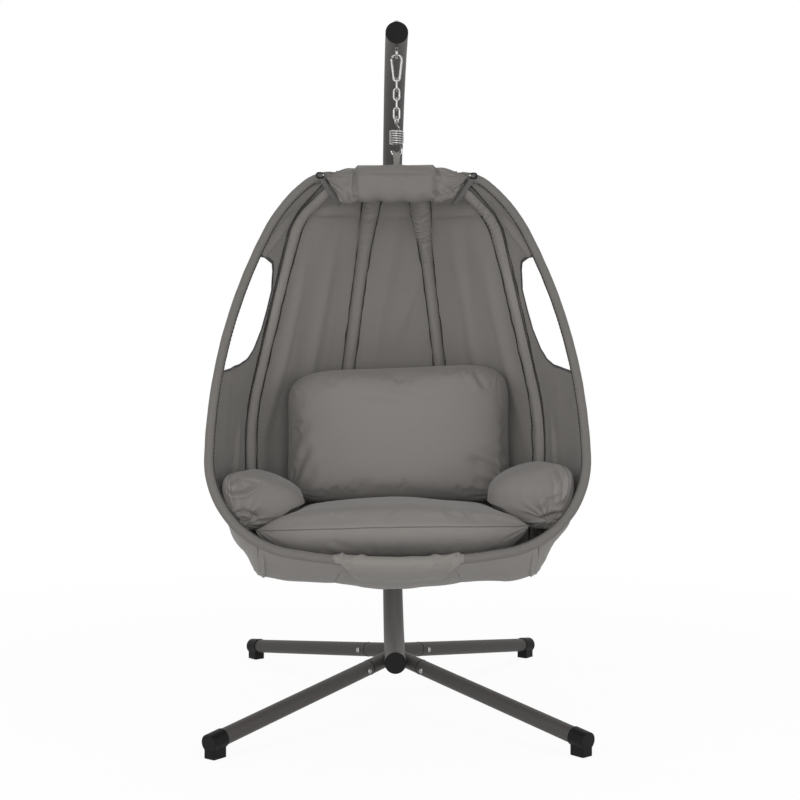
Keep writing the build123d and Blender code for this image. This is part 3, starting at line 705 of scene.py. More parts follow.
class Panel:
    """A sheet between two edges, bellied away from the basket's middle and softly folded."""

    def __init__(self, edge_a, edge_b, side, rows, first, last, seed, creases=(), cut=None, flat_from=0.93):
        self.rows, self.seed, self.creases, self.flat_from = rows, seed, creases, flat_from
        self.lines = []
        for step in range(rows + 1):
            v = first + (last - first) * step / rows
            a, b = flip(edge_a(v), side), flip(edge_b(v), side)
            chord = b - a
            out = (a + b) / 2 - BASKET_MIDDLE
            out = (out - chord * (out.dot(chord) / chord.length_squared)).normalized()
            self.lines.append((v, a, chord, out, cut(v) if cut else 1.0))
        self.width = max(line[2].length for line in self.lines)
        middle = [self.bare(0.4, row) for row in range(rows + 1)]
        self.run = [0.0]
        for before, after in zip(middle, middle[1:]):
            self.run.append(self.run[-1] + (after - before).length)
        self.length = self.run[-1]

    def bare(self, u, row):
        v, a, chord, out, _ = self.lines[row]
        belly = 4.0 * u * (1.0 - u) * 0.045 * chord.length * soft(1.01, self.flat_from, v)
        return a + chord * u + out * belly

    def fold(self, u, row):
        """Broad folds that run down the panel, with flat facets between quick turns, and its creases."""
        v, _, chord, _, _ = self.lines[row]
        x, y = u * chord.length, self.run[row]
        drift = x * 9.0 + 0.35 * noise.noise(Vector((y * 2.2, self.seed, 0.3)))
        broad = noise.noise(Vector((drift + self.seed, y * 0.8, self.seed * 1.7)))
        facet = noise.noise(Vector((drift * 1.8 - self.seed, y * 1.5, self.seed)))
        fine = noise.noise(Vector((x * 30.0, y * 12.0, self.seed)))
        height = 1.25 * broad + 0.32 * facet / (0.16 + abs(facet)) + 0.10 * fine
        for points, width, strength in self.creases:
            height -= strength * crease(x, y, points, width)
        spread = sin(pi * min(max(u, 0.0), 1.0)) ** 0.7
        return cloth().fold_depth * height * spread * soft(1.08, self.flat_from, v)

    def point(self, u, row):
        return self.bare(u, row) + self.lines[row][3] * self.fold(u, row)

    def inside(self, reach, row, lift):
        """A point on the inner face, a reach from one of the edges: from the far one where it is negative."""
        u = reach / self.lines[row][2].length
        u = u if u > 0 else 1.0 + u
        return self.point(u, row) - self.lines[row][3] * lift


class CHAIR_OT_cover(bpy.types.Operator):
    """Sew the cover: panels, sleeves on the ribs and rim, seams and window bindings"""
    bl_idname = "hanging_chair.cover"
    bl_label = "Cover"

    def sheet(self, name, panel, columns, nodes, held_by, extra=(), with_pieces=()):
        """Makes a panel's cloth; extra holds rows of its own beyond the panel's last one."""
        rows = panel.rows + len(extra)

        def surface(u, v):
            row = round(v * rows)
            if row > panel.rows:
                return extra[row - panel.rows - 1](u)
            return panel.point(u * panel.lines[row][4], row)

        width, length = panel.width * 1.03, panel.length * 1.04 + 0.004 * len(extra)
        shape = cloth_grid(columns, rows, surface, lambda u, v: (u * width, v * length))
        area = sum(face.calc_area() for face in shape.faces)
        piece = thicken(new_object(name, shape), 0.0014)
        dressed(piece, finish("cover cloth"), "chair", "cover_cloth", *nodes)
        min(max(area * 1.02, 0.31 * width * length), width * length)
        return piece

    def stitches(self, name, points, radius, bead):
        """A line of stitches, which swells and shrinks by the bead from stitch to stitch."""
        line = Route(points)

        def reach(share, turn):
            run = share * line.length
            uneven = 0.85 + 0.9 * noise.noise(Vector((run * 17.0, points[0].x * 40.0, 1.0)))
            thick = radius * uneven + bead * abs(sin(pi * run / 0.011))
            return thick * cos(2.0 * pi * turn), thick * sin(2.0 * pi * turn)

        piece = tube_piece(name, line.at, away_from(BASKET_MIDDLE), reach, int(line.length / 0.0024),
                           segments=6)
        return dressed(piece, finish("seam thread"), "chair", "cover_cloth")

    def seam(self, name, panel, seed, wide, beyond, far=False):
        """The seam beside a sleeve of some width, on a panel's inner face, where its cloth puckers."""
        points = []
        for row, line in enumerate(panel.lines[:int(0.95 * panel.rows)]):
            pucker = 0.0026 * noise.noise(Vector((panel.run[row] * 30.0, seed, 0.5)))
            reach = wide(line[0]) + beyond + pucker
            points.append(panel.inside(-reach if far else reach, row, 0.0022))
        self.stitches(name, points, 0.0014, 0.0009)

    def inner_width(self, word):
        """Half the width of a sleeve on an inner rib, which is fuller under the head bolster."""
        base, more, reach = (0.0155, 0.0115, 0.075) if word == "right" else (0.0175, 0.0060, 0.080)
        return lambda share: base + more * hill(share, 0.07, reach)

    def outer_width(self, share):
        return 0.0165

    def rib_sleeve(self, name, rib, side, wide, amount, seed, rows, node, tube):
        """A tunnel on the panels' inner face: flat outside, arched and gathered over the rib inside."""
        gather = cloth().sleeve_gather
        base, arch = 0.0078, 0.0192

        def line(share):
            return flip(rib.at(0.018 + 0.968 * share**1.5), side)

        def profile(share, turn):
            run = share**1.5 * rib.length
            facing = sin(2.0 * pi * turn)
            strength = amount(share**1.5)
            ruck = gathers(run / 0.0125 + 0.8 * cos(2.0 * pi * turn)
                           + 0.6 * noise.noise(Vector((facing * 2.0, run * 9.0, seed))), seed)
            slack = noise.noise(Vector((run * 20.0, cos(2 * pi * turn) * 1.4, facing * 1.4 + seed)))
            rise = gather * (1.6 * strength * ruck + 0.5 * slack) * soft(0.15, -0.4, facing)
            tall = 0.0018 if facing > 0 else arch + rise
            return (wide(share**1.5) + 0.3 * rise) * cos(2.0 * pi * turn), base + tall * facing

        piece = tube_piece(name, line, away_from(BASKET_MIDDLE), profile, rows, capped=False, segments=24)
        dressed(piece, finish("cover cloth"), "chair", "cover_cloth", node)

    def rim_sleeve(self, name, side, seed, rows, node, tube):
        """The tunnel round the rim, with short gathers at its bends."""
        gather = cloth().sleeve_gather
        reach = 0.0121

        def profile(share, turn):
            run = share * RIM.length
            strength = 0.12 + 0.45 * hill(share, 0.17, 0.07) + 0.35 * hill(share, 0.91, 0.05)
            side_way, out_way = sin(2.0 * pi * turn), -cos(2.0 * pi * turn)
            ruck = gathers(run / 0.019 + 0.7 * side_way, seed)
            slack = noise.noise(Vector((run * 18.0, side_way, out_way + seed)))
            radius = reach + gather * (0.7 * strength * ruck + 0.28 * slack + 0.1)
            return radius * side_way, radius * out_way

        def line(share):
            return flip(RIM.at(share), side)

        piece = tube_piece(name, line, away_from(BASKET_MIDDLE), profile, rows, capped=False, segments=24)
        # Its finish is the cover cloth darkened: painted shade.
        dressed(piece, finish("rim cloth with painted shade"), "chair", "cover_cloth", node)

    def rim_seam(self, name, side):
        """Stitches on the rim's inner side."""
        points = []
        for step in range(181):
            share = 0.002 + 0.965 * step / 180
            centre, way = RIM.at(share), RIM.way(share)
            inner = way.cross(RIM_FRONT)
            inner = inner if inner.dot(BASKET_MIDDLE - centre) > 0 else -inner
            points.append(flip(centre + (inner * cos(0.40) + RIM_FRONT * sin(0.40)) * 0.0130, side))
        self.stitches(name, points, 0.0007, 0.0015)

    def centre(self):
        """The middle panel, which goes over the rim in front and is tucked in behind it."""
        creases = (
            (((0.190, 0.26), (0.130, 0.52)), 0.017, 1.1),
            (((0.080, 0.16), (0.070, 0.62)), 0.020, 1.0),
            (((0.235, 0.24), (0.275, 0.62)), 0.018, 1.0),
            (((0.040, 0.130), (0.230, 0.125)), 0.014, 0.9),
        )
        panel = Panel(lambda v: flip(INNER_FACE.at(v), -1.0), INNER_FACE.at, 1.0, 200, 0.035, 0.950, 4.3,
                      creases)
        meets = radians(-38.0)

        def hem(across, angle):
            """How far in the cloth's slanted end comes, as a share of half its width."""
            return 0.95 + 0.22 * min(angle - meets, 0.0) + (0.02 if across > 0 else -0.02)

        def pleat(across, angle):
            """Folds along the two ends, and others that cross them."""
            at_end = hill(abs(across), hem(across, angle) - 0.06, 0.030)
            beside = 0.8 * hill(abs(across), 0.74 - 0.16 * angle, 0.040)
            crossing = 0.7 * hill(across, 0.62 + 0.20 * angle, 0.050)
            return max(at_end, beside, crossing)

        def over(u, angle):
            """A point of the cloth on the rim, at an angle about it from its front."""
            across = 2.0 * u - 1.0
            shift = across * (INNER_ON_RIM + 0.020) + 0.006 * noise.noise(Vector((u * 3.0, angle, 2.0)))
            centre = flip(RIM.at(abs(shift) / RIM.length), 1.0 if shift > 0 else -1.0)
            pull = noise.noise(Vector((u * 7.0 + angle, angle * 0.8, 5.0)))
            lies = soft(1.02, 0.90, abs(across))
            reach = 0.0122 + lies * (0.0028 + 0.0010 * pull + 0.0046 * pleat(across, angle))
            return centre + (RIM_FRONT * cos(angle) + RIM_UP * sin(angle)) * reach

        def drape(step):
            """A row of the cloth that hangs from the panel's last row up to the rim's front."""
            share = step / 14
            way = RIM_UP * cos(meets) - RIM_FRONT * sin(meets)

            def point(u):
                start, stop = panel.point(u, panel.rows), over(u, meets)
                corner = stop - way * 0.034
                low = start.lerp(corner, share).lerp(corner.lerp(stop, share), share)
                across, angle = 2.0 * u - 1.0, meets - 1.5 * (1.0 - share)
                low += RIM_FRONT * 0.007 * pleat(across, angle) * sin(pi * share)
                under = self.tucked(abs(across) * INNER_ON_RIM, 1.0 if across > 0 else -1.0)
                edge = hem(across, angle)
                hidden = start.lerp(under, soft(0.0, 1.0, share))
                return low.lerp(hidden, soft(edge - 0.04, edge + 0.05, abs(across)))
            return point

        def wrap(step):
            return lambda u: over(u, meets + (radians(72.0) - meets) * step / 11)

        extra = [drape(step) for step in range(1, 14)] + [wrap(step) for step in range(12)]
        self.sheet("cover_centre_sheet", panel, 96, ("cover_back_centre", "cover_seat_centre"),
                   ["rib_inner_left", "rib_inner_right"], extra)
        self.seam("centre_seam_left", panel, 1.0, self.inner_width("left"), 0.0040)
        self.seam("centre_seam_right", panel, 2.0, self.inner_width("right"), 0.0040, True)

    def tucked(self, on_rim, side):
        """Where a panel's edge goes in under the rim's sleeve, at a length along the rim."""
        centre = RIM.at(on_rim / RIM.length)
        under = (outward(centre, RIM.way(on_rim / RIM.length)) + Vector((0.0, 0.0, -0.7))).normalized()
        return flip(centre + under * 0.0118, side)

    def quarter(self, word, side, seed):
        creases = (
            (((0.02, 0.12), (0.17, 0.115)), 0.010, 1.2),
            (((0.09, 0.20), (0.13, 0.75)), 0.018, 1.0),
            (((0.19, 0.28), (0.25, 0.80)), 0.016, 1.1),
        )
        panel = Panel(INNER_FACE.at, OUTER_FACE.at, side, 200, 0.035, 0.965, seed, creases)

        def tuck(step):
            share = soft(0.0, 1.0, step / 8)

            def point(u):
                on_rim = INNER_ON_RIM - 0.03 * (1.0 - u) + (OUTER_ON_RIM - INNER_ON_RIM) * u
                return panel.point(u, panel.rows).lerp(self.tucked(on_rim, side), share)
            return point

        self.sheet(f"cover_quarter_sheet_{word}", panel, 60, (f"cover_back_{word}", f"cover_seat_{word}"),
                   [f"rib_inner_{word}", f"rib_outer_{word}"], [tuck(step) for step in range(1, 9)])
        self.seam(f"quarter_inner_seam_{word}", panel, seed, self.inner_width(word), 0.0014)
        self.seam(f"quarter_outer_seam_{word}", panel, seed + 3.0, self.outer_width, 0.0175, True)

    def side_panel(self, word, side, seed):
        """The panel from the outer rib to the rim, cut away round the arm window."""
        def cut(v):
            low, high = WINDOW_EDGE[0][0], WINDOW_EDGE[-1][0]
            if v <= low or v >= high:
                return 1.0
            for (v0, share0), (v1, share1) in zip(WINDOW_EDGE, WINDOW_EDGE[1:]):
                if v <= v1:
                    share = share0 + (share1 - share0) * (v - v0) / (v1 - v0)
                    return share + 0.03 * side * (1.0 - share)

        creases = ((((0.03, 0.16), (0.16, 0.30)), 0.010, 1.3), (((0.06, 0.72), (0.10, 0.95)), 0.010, 1.4))
        panel = Panel(OUTER_FACE.at, rim_level, side, 320, 0.02, 0.998, seed, creases, cut, 0.74)
        marked = [row for row in range(panel.rows + 1) if panel.lines[row][4] < 1.0]
        edge = [panel.point(panel.lines[row][4], row) for row in marked]
        line = Route(edge)
        tape = tube_piece(f"window_binding_{word}", line.at, away_from(BASKET_MIDDLE), oval(0.0042, 0.0019),
                          150)
        dressed(tape, finish("window binding"), "chair", "cover_cloth")
        self.sheet(f"cover_side_sheet_{word}", panel, 48, (f"cover_side_{word}",),
                   [f"rib_outer_{word}", f"rim_{word}"], (), [tape])
        self.seam(f"side_seam_{word}", panel, seed, self.outer_width, 0.0012)

    def execute(self, context):
        self.centre()
        for index, (word, side) in enumerate(SIDES):
            self.quarter(word, side, 11.0 + 7.3 * index)
            self.side_panel(word, side, 31.0 + 5.1 * index)
            strong = 4.4 if word == "right" else 1.4
            self.rib_sleeve(f"inner_sleeve_{word}", INNER, side, self.inner_width(word),
                            lambda s, k=strong: 0.3 + k * hill(s, 0.095, 0.050), 2.0 + index, 680,
                            f"rib_sleeve_inner_{word}", f"rib_inner_{word}")
            self.rib_sleeve(f"outer_sleeve_{word}", OUTER, side, self.outer_width,
                            lambda s, k=strong: 0.3 + 0.45 * k * hill(s, 0.10, 0.06), 9.0 + index, 680,
                            f"rib_sleeve_outer_{word}", f"rib_outer_{word}")
            self.rim_sleeve(f"rim_sleeve_{word}_cloth", side, 15.0 + index, 520, f"rim_sleeve_{word}",
                            f"rim_{word}")
            self.rim_seam(f"rim_seam_{word}", side)
        return {"FINISHED"}


def eased(share):
    """Draws the points of a cushion's grid closer together towards its sewn edge."""
    return sin(share * pi / 2.0)


def pillow(name, columns, rows, place, lay):
    """A closed cushion of two faces sewn at the edge; place gives a point from two shares and the face."""
    shape = bmesh.new()
    flat = shape.loops.layers.uv.new("UVMap")
    for face_side in (1.0, -1.0):
        made = bmesh.ops.create_grid(shape, x_segments=columns, y_segments=rows, size=1.0)
        shares = {vert: (vert.co.x, vert.co.y) for vert in made["verts"]}
        for vert, (u, v) in shares.items():
            vert.co = place(eased(u), eased(v), face_side)
        for face in {f for vert in made["verts"] for f in vert.link_faces}:
            for loop in face.loops:
                x, y = lay(*shares[loop.vert])
                loop[flat].uv = (x, y + (0.0 if face_side > 0 else 1.3))
    rims = [vert for vert in shape.verts if vert.is_boundary]
    bmesh.ops.remove_doubles(shape, verts=rims, dist=1e-5)
    bmesh.ops.recalc_face_normals(shape, faces=shape.faces)
    piece = new_object(name, shape)
    finder = KDTree(len(piece.data.vertices))
    for vert in piece.data.vertices:
        finder.insert(vert.co, vert.index)
    finder.balance()
    round_edge = [(-1.0 + 2.0 * step / columns, -1.0) for step in range(columns)]
    round_edge += [(1.0, -1.0 + 2.0 * step / rows) for step in range(rows)]
    round_edge += [(-u, 1.0) for u, _ in round_edge[:columns]]
    round_edge += [(-1.0, -v) for _, v in round_edge[columns:columns + rows]]
    return piece, [finder.find(place(eased(u), eased(v), 1.0))[1] for u, v in round_edge]


def swell(piece, pressure, cap, stiffness=14.0, bending=0.12):
    """Fills a cushion: its cloth swells under pressure, and no point moves further than the cap."""
    scene = bpy.context.scene
    rest = [vert.co.copy() for vert in piece.data.vertices]
    filled = piece.modifiers.new("Filling", "CLOTH")
    settings = filled.settings
    settings.quality = 5
    settings.mass = 0.25
    settings.tension_stiffness = stiffness
    settings.compression_stiffness = stiffness
    settings.shear_stiffness = stiffness / 3
    settings.bending_stiffness = bending
    settings.tension_damping = settings.compression_damping = settings.shear_damping = 8.0
    settings.use_pressure = True
    settings.uniform_pressure_force = pressure
    settings.effector_weights.gravity = 0.0
    filled.collision_settings.use_self_collision = False
    filled.point_cache.frame_start = 1
    filled.point_cache.frame_end = cloth().puff_frames + 1
    for step in range(1, cloth().puff_frames + 1):
        scene.frame_set(step)
    grown = piece.evaluated_get(bpy.context.evaluated_depsgraph_get())
    moved = [vert.co.copy() for vert in grown.data.vertices]
    piece.modifiers.remove(filled)
    scene.frame_set(1)
    for vert, start, stop in zip(piece.data.vertices, rest, moved):
        move = stop - start
        if move.length > cap:
            move *= cap / move.length
        vert.co = start + move
    piece.data.update()
    return piece


def work_in(piece, height):
    """Moves each point of a cushion along its normal by the height given for its place and its facing."""
    moves = [(vert, vert.normal * height(vert.co, vert.normal)) for vert in piece.data.vertices]
    for vert, move in moves:
        vert.co += move
    piece.data.update()
    return piece


def faces_of(name):
    """The faces of a piece, for rays to meet."""
    mesh = bpy.data.objects[name].data
    return BVHTree.FromPolygons([vert.co for vert in mesh.vertices],
                                [face.vertices for face in mesh.polygons])


def rest_on(piece, carrier, gap):
    """Presses a cushion's underside flat where it would sink into the one below it."""
    below, down = faces_of(carrier), Vector((0.0, 0.0, -1.0))
    for vert in piece.data.vertices:
        under = [below.ray_cast(Vector((vert.co.x + aside, vert.co.y, 1.0)), down)[0]
                 for aside in (-0.007, 0.0, 0.007)]
        top = max((point.z for point in under if point), default=None)
        if top is not None and vert.co.z < top + gap:
            vert.co.z = top + gap + 0.04 * max(vert.co.z - top + 0.05, 0.0)
    piece.data.update()
    return piece


def kept_in(piece, walls, way, gap, room=0.03):
    """Presses a cushion in, smoothly over some room, where it would come through the walls on its way."""
    trees = [faces_of(wall) for wall in walls]
    inside = 0.35
    for vert in piece.data.vertices:
        start = vert.co - way * inside
        reaches = [tree.ray_cast(start, way)[3] for tree in trees]
        limit = min((reach for reach in reaches if reach is not None), default=None)
        if limit is not None and inside > limit - gap - room:
            beyond = inside - (limit - gap - room)
            vert.co = start + way * (limit - gap - room * exp(-beyond / room))
    piece.data.update()
    return piece


def pleats(x, z, centre, count, reach, seed):
    """Pleats that spread from a gathered point towards the middle and fade away, from 0 to 1."""
    inwards, up = (centre[0] - x if centre[0] > 0 else x - centre[0]), z - centre[1]
    away = sqrt(inwards * inwards + up * up)
    if away > 2.4 * reach:
        return 0.0
    turn = count * atan2(up, inwards) / (2.0 * pi) + 0.5 * noise.noise(Vector((x * 16.0, z * 16.0, seed)))
    return gathers(turn, seed) * exp(-((away / reach) ** 2)) * soft(0.0, 0.2 * reach, away)


def creased(folds, gathered, seed):
    """The depth of folds on the front: lines with a width and depth, and points that pleats spread from."""
    def height(place, facing):
        seen = soft(0.05, -0.45, facing.y)
        if not seen:
            return 0.0
        sunk = sum(depth * crease(place.x, place.z, points, width) for points, width, depth in folds)
        sunk += sum(depth * pleats(place.x, place.z, centre, count, reach, seed)
                    for centre, count, reach, depth in gathered)
        return -seen * sunk
    return height


def smooth_once(piece):
    rounded = piece.modifiers.new("Rounding", "SUBSURF")
    rounded.levels = rounded.render_levels = 1
    return piece


def sewn_edge(name, piece, order, radius, material):
    """A line of stitches on a cushion's sewn edge."""
    rim = [piece.data.vertices[i].co.copy() for i in order]
    closed = Route(rim + [rim[0]])
    middle = sum(rim, Vector()) / len(rim)
    line = tube_piece(name, closed.at, away_from(middle), oval(radius, radius), len(rim) * 2, closed=True)
    return dressed(line, material, "chair", "cushion_cloth")


def fullness(u, v, power=2.6, rise=0.5):
    return max((1.0 - abs(u) ** power) * (1.0 - abs(v) ** power), 0.0) ** rise


def rounded(u, v, trim_u, trim_v, power):
    """Two shares of a square, drawn in at its corners so that they are round."""
    return u * (1.0 - trim_u * abs(v) ** power), v * (1.0 - trim_v * abs(u) ** power)


def edge_pull(u, v, seed, reach=0.16, step=0.07):
    """Short gathers that run in from a sewn edge, stronger at the corners, from 0 to 1."""
    edge = 1.0 - max(abs(u), abs(v))
    run = v if abs(u) > abs(v) else u
    corner = soft(0.25, 0.95, min(abs(u), abs(v)) / max(abs(u), abs(v), 1e-6))
    near = exp(-((edge / reach) ** 2)) * soft(0.0, 0.05, edge)
    return near * (0.25 + 0.75 * corner) * gathers(run / step, seed)


class CHAIR_OT_seat(bpy.types.Operator):
    """Make the seat cushion"""
    bl_idname = "hanging_chair.seat"
    bl_label = "Seat cushion"

    def execute(self, context):
        front, back = -0.549, -0.146

        def place(u, v, face):
            along, across = v, u * (1.0 - 0.10 * soft(0.3, 1.0, v) * abs(u) ** 3)
            y = (front + back) / 2 + along * (back - front) / 2
            ahead = soft(-0.45, -1.0, v)
            half = 0.305 + 0.043 * ahead - 0.055 * soft(0.0, 1.0, v)
            x = -0.013 * ahead + across * half
            y += 0.045 * ahead * abs(u) ** 2.5
            slack = soft(0.70, 1.0, abs(u)) * soft(-0.60, -0.10, v)
            seam = (0.555 + 0.006 * u * ahead - 0.006 * ahead * abs(u) ** 2 - 0.012 * slack
                    - 0.012 * soft(0.0, 1.0, v))
            ruck = edge_pull(u, v, 5.0 + face, 0.12) * 0.006
            broad = 0.004 * noise.noise(Vector((u * 2.4, v * 2.0, 2.0 + face)))
            if face > 0:
                full = fullness(u, v, 2.5, 0.5)
                z = seam + full * (0.041 + 0.006 * hill(u, -0.12, 0.4) + broad - ruck)
            else:
                full = max((1.0 - abs(u) ** 7) * (1.0 - abs(v) ** 2.8), 0.0) ** 0.42
                z = seam - full * (0.086 + broad - ruck)
                y -= 0.016 * full * soft(-0.55, -0.95, v)
            return Vector((x, y, z))

        piece, order = pillow("seat_pad", 132, 88, place, lambda u, v: (u * 0.37, v * 0.26))
        swell(piece, cloth().puff, 0.010)
        folds = (
            (((0.098, 0.607), (0.140, 0.580)), 0.006, 0.0036),
            (((0.190, 0.596), (0.150, 0.574)), 0.008, 0.0022),
            (((-0.170, 0.520), (-0.120, 0.500)), 0.010, 0.0024),
        )
        gathered = (((-0.366, 0.549), 20, 0.055, 0.006), ((0.340, 0.557), 20, 0.065, 0.007))
        work_in(piece, creased(folds, gathered, 2.0))
        smooth_once(piece)
        dressed(piece, finish("cushion cloth"), "chair", "cushion_cloth", "seat_cushion")
        sewn_edge("seat_pad_seam", piece, order, 0.0013, finish("cushion thread"))
        return {"FINISHED"}


class CHAIR_OT_back(bpy.types.Operator):
    """Make the back cushion"""
    bl_idname = "hanging_chair.back"
    bl_label = "Back cushion"

    def execute(self, context):
        lean = radians(8.0)
        centre = Vector((0.009, -0.155, 0.772))
        up = Vector((0.0, sin(lean), cos(lean)))
        forth = Vector((0.0, -cos(lean), sin(lean)))

        def place(u, v, face):
            across, along = rounded(u, v, *((0.10, 0.16) if v > 0 else (0.03, 0.05)), 6.0)
            x = across * 0.320 * (1.0 - 0.02 * (1.0 - v * v))
            z = along * 0.198 * (1.0 - 0.02 * (1.0 - u * u)) + 0.012 * u * soft(0.0, 1.0, v)
            full = fullness(u, v, 3.0, 0.44)
            ruck = edge_pull(u, v, 8.0 + face, 0.16, 0.06) * 0.007
            broad = 0.006 * noise.noise(Vector((u * 1.9 + 4.0, v * 1.9, face)))
            deep = full * ((0.080 if face > 0 else 0.072) + broad - ruck)
            return centre + Vector((x, 0, 0)) + up * z + forth * deep * face

        piece, order = pillow("back_pad", 120, 84, place, lambda u, v: (u * 0.34, v * 0.23))
        swell(piece, cloth().puff, 0.010)
        folds = (
            (((0.292, 0.662), (0.205, 0.712)), 0.012, 0.0080),
            (((0.300, 0.705), (0.225, 0.738)), 0.010, 0.0050),
            (((0.280, 0.622), (0.215, 0.650)), 0.012, 0.0060),
            (((-0.286, 0.640), (-0.240, 0.740)), 0.013, 0.0070),
            (((-0.258, 0.612), (-0.222, 0.690)), 0.012, 0.0056),
            (((-0.290, 0.745), (-0.235, 0.800)), 0.012, 0.0036),
            (((-0.110, 0.880), (0.030, 0.868)), 0.008, 0.0020),
            (((-0.020, 0.902), (0.090, 0.880)), 0.009, 0.0018),
            (((0.215, 0.955), (0.245, 0.900)), 0.008, 0.0046),
            (((-0.200, 0.930), (-0.150, 0.900)), 0.009, 0.0028),
        )
        gathered = (((0.296, 0.612), 18, 0.085, 0.007), ((-0.290, 0.608), 18, 0.080, 0.006),
                    ((0.288, 0.952), 20, 0.060, 0.005), ((-0.290, 0.935), 20, 0.060, 0.005))
        work_in(piece, creased(folds, gathered, 6.0))
        rest_on(piece, "seat_pad", 0.004)
        smooth_once(piece)
        dressed(piece, finish("cushion cloth"), "chair", "cushion_cloth", "back_cushion")
        sewn_edge("back_pad_seam", piece, order, 0.0013, finish("cushion thread"))
        return {"FINISHED"}


class CHAIR_OT_arms(bpy.types.Operator):
    """Make the arm bolsters with their tucked corners"""
    bl_idname = "hanging_chair.arms"
    bl_label = "Arm bolsters"

    def execute(self, context):
        folds = {
            "left": (
                (((-0.434, 0.656), (-0.411, 0.640), (-0.382, 0.641), (-0.352, 0.660)), 0.0042, 0.0090),
                (((-0.415, 0.664), (-0.394, 0.673), (-0.352, 0.662)), 0.0040, 0.0060),
                (((-0.409, 0.685), (-0.352, 0.677), (-0.318, 0.667)), 0.0050, 0.0050),
                (((-0.412, 0.680), (-0.411, 0.640), (-0.404, 0.592)), 0.0034, 0.0034),
                (((-0.402, 0.587), (-0.382, 0.593), (-0.364, 0.583), (-0.352, 0.564)), 0.0046, 0.0090),
                (((-0.425, 0.600), (-0.398, 0.578)), 0.0050, 0.0060),
            ),
            "right": (
                (((0.394, 0.704), (0.402, 0.660), (0.398, 0.596)), 0.0040, 0.0060),
                (((0.428, 0.630), (0.400, 0.604)), 0.0050, 0.0070),
                (((0.396, 0.630), (0.374, 0.618), (0.366, 0.596)), 0.0050, 0.0060),
                (((0.412, 0.588), (0.388, 0.582), (0.362, 0.566)), 0.0050, 0.0080),
            ),
        }
        knots = {"left": ((-0.385, 0.556), 15, 0.050, 0.017), "right": ((0.380, 0.558), 15, 0.052, 0.017)}
        heights = {"left": (0.614, 0.074, radians(8.0)), "right": (0.623, 0.084, radians(4.0))}
        for index, (word, side) in enumerate(SIDES):
            level, tall, slope = heights[word]
            middle = Vector((0.400 * side, -0.388, level))
            axis = Vector((-0.16 * side, 1.0, 0.0)).normalized()
            inner = Vector((-side * cos(slope), 0.0, -sin(slope)))

            def place(u, v, face):
                along, up = rounded(u, v, 0.12, 0.20, 5.0)
                full = fullness(u, v, 2.5, 0.5)
                broad = 0.005 * noise.noise(Vector((u * 2.2, v * 2.2, 13.0 + 4.0 * index + face)))
                point = middle + axis * along * 0.160 + Vector((0.0, 0.0, up * tall))
                if face > 0:
                    return point + inner * full * (0.158 * (0.25 + 0.75 * soft(-1.05, 0.0, u)) + broad)
                return point + Vector((side, 0.0, 0.0)) * full * 0.040

            piece, order = pillow(f"arm_pad_{word}", 120, 96, place, lambda u, v: (u * 0.2, v * 0.16))
            swell(piece, cloth().puff * 0.8, 0.008, bending=0.05)
            work_in(piece, creased(folds[word], (knots[word],), 9.0 + index))
            walls = (f"cover_side_sheet_{word}", f"cover_quarter_sheet_{word}", f"outer_sleeve_{word}",
                     f"rim_sleeve_{word}_cloth")
            kept_in(piece, walls, Vector((side, 0.0, 0.0)), 0.004)
            rest_on(piece, "seat_pad", 0.007)
            smooth_once(piece)
            dressed(piece, finish("cushion cloth"), "chair", "cushion_cloth", f"arm_bolster_{word}")
            sewn_edge(f"arm_pad_seam_{word}", piece, order, 0.0011, finish("cushion thread"))
        return {"FINISHED"}


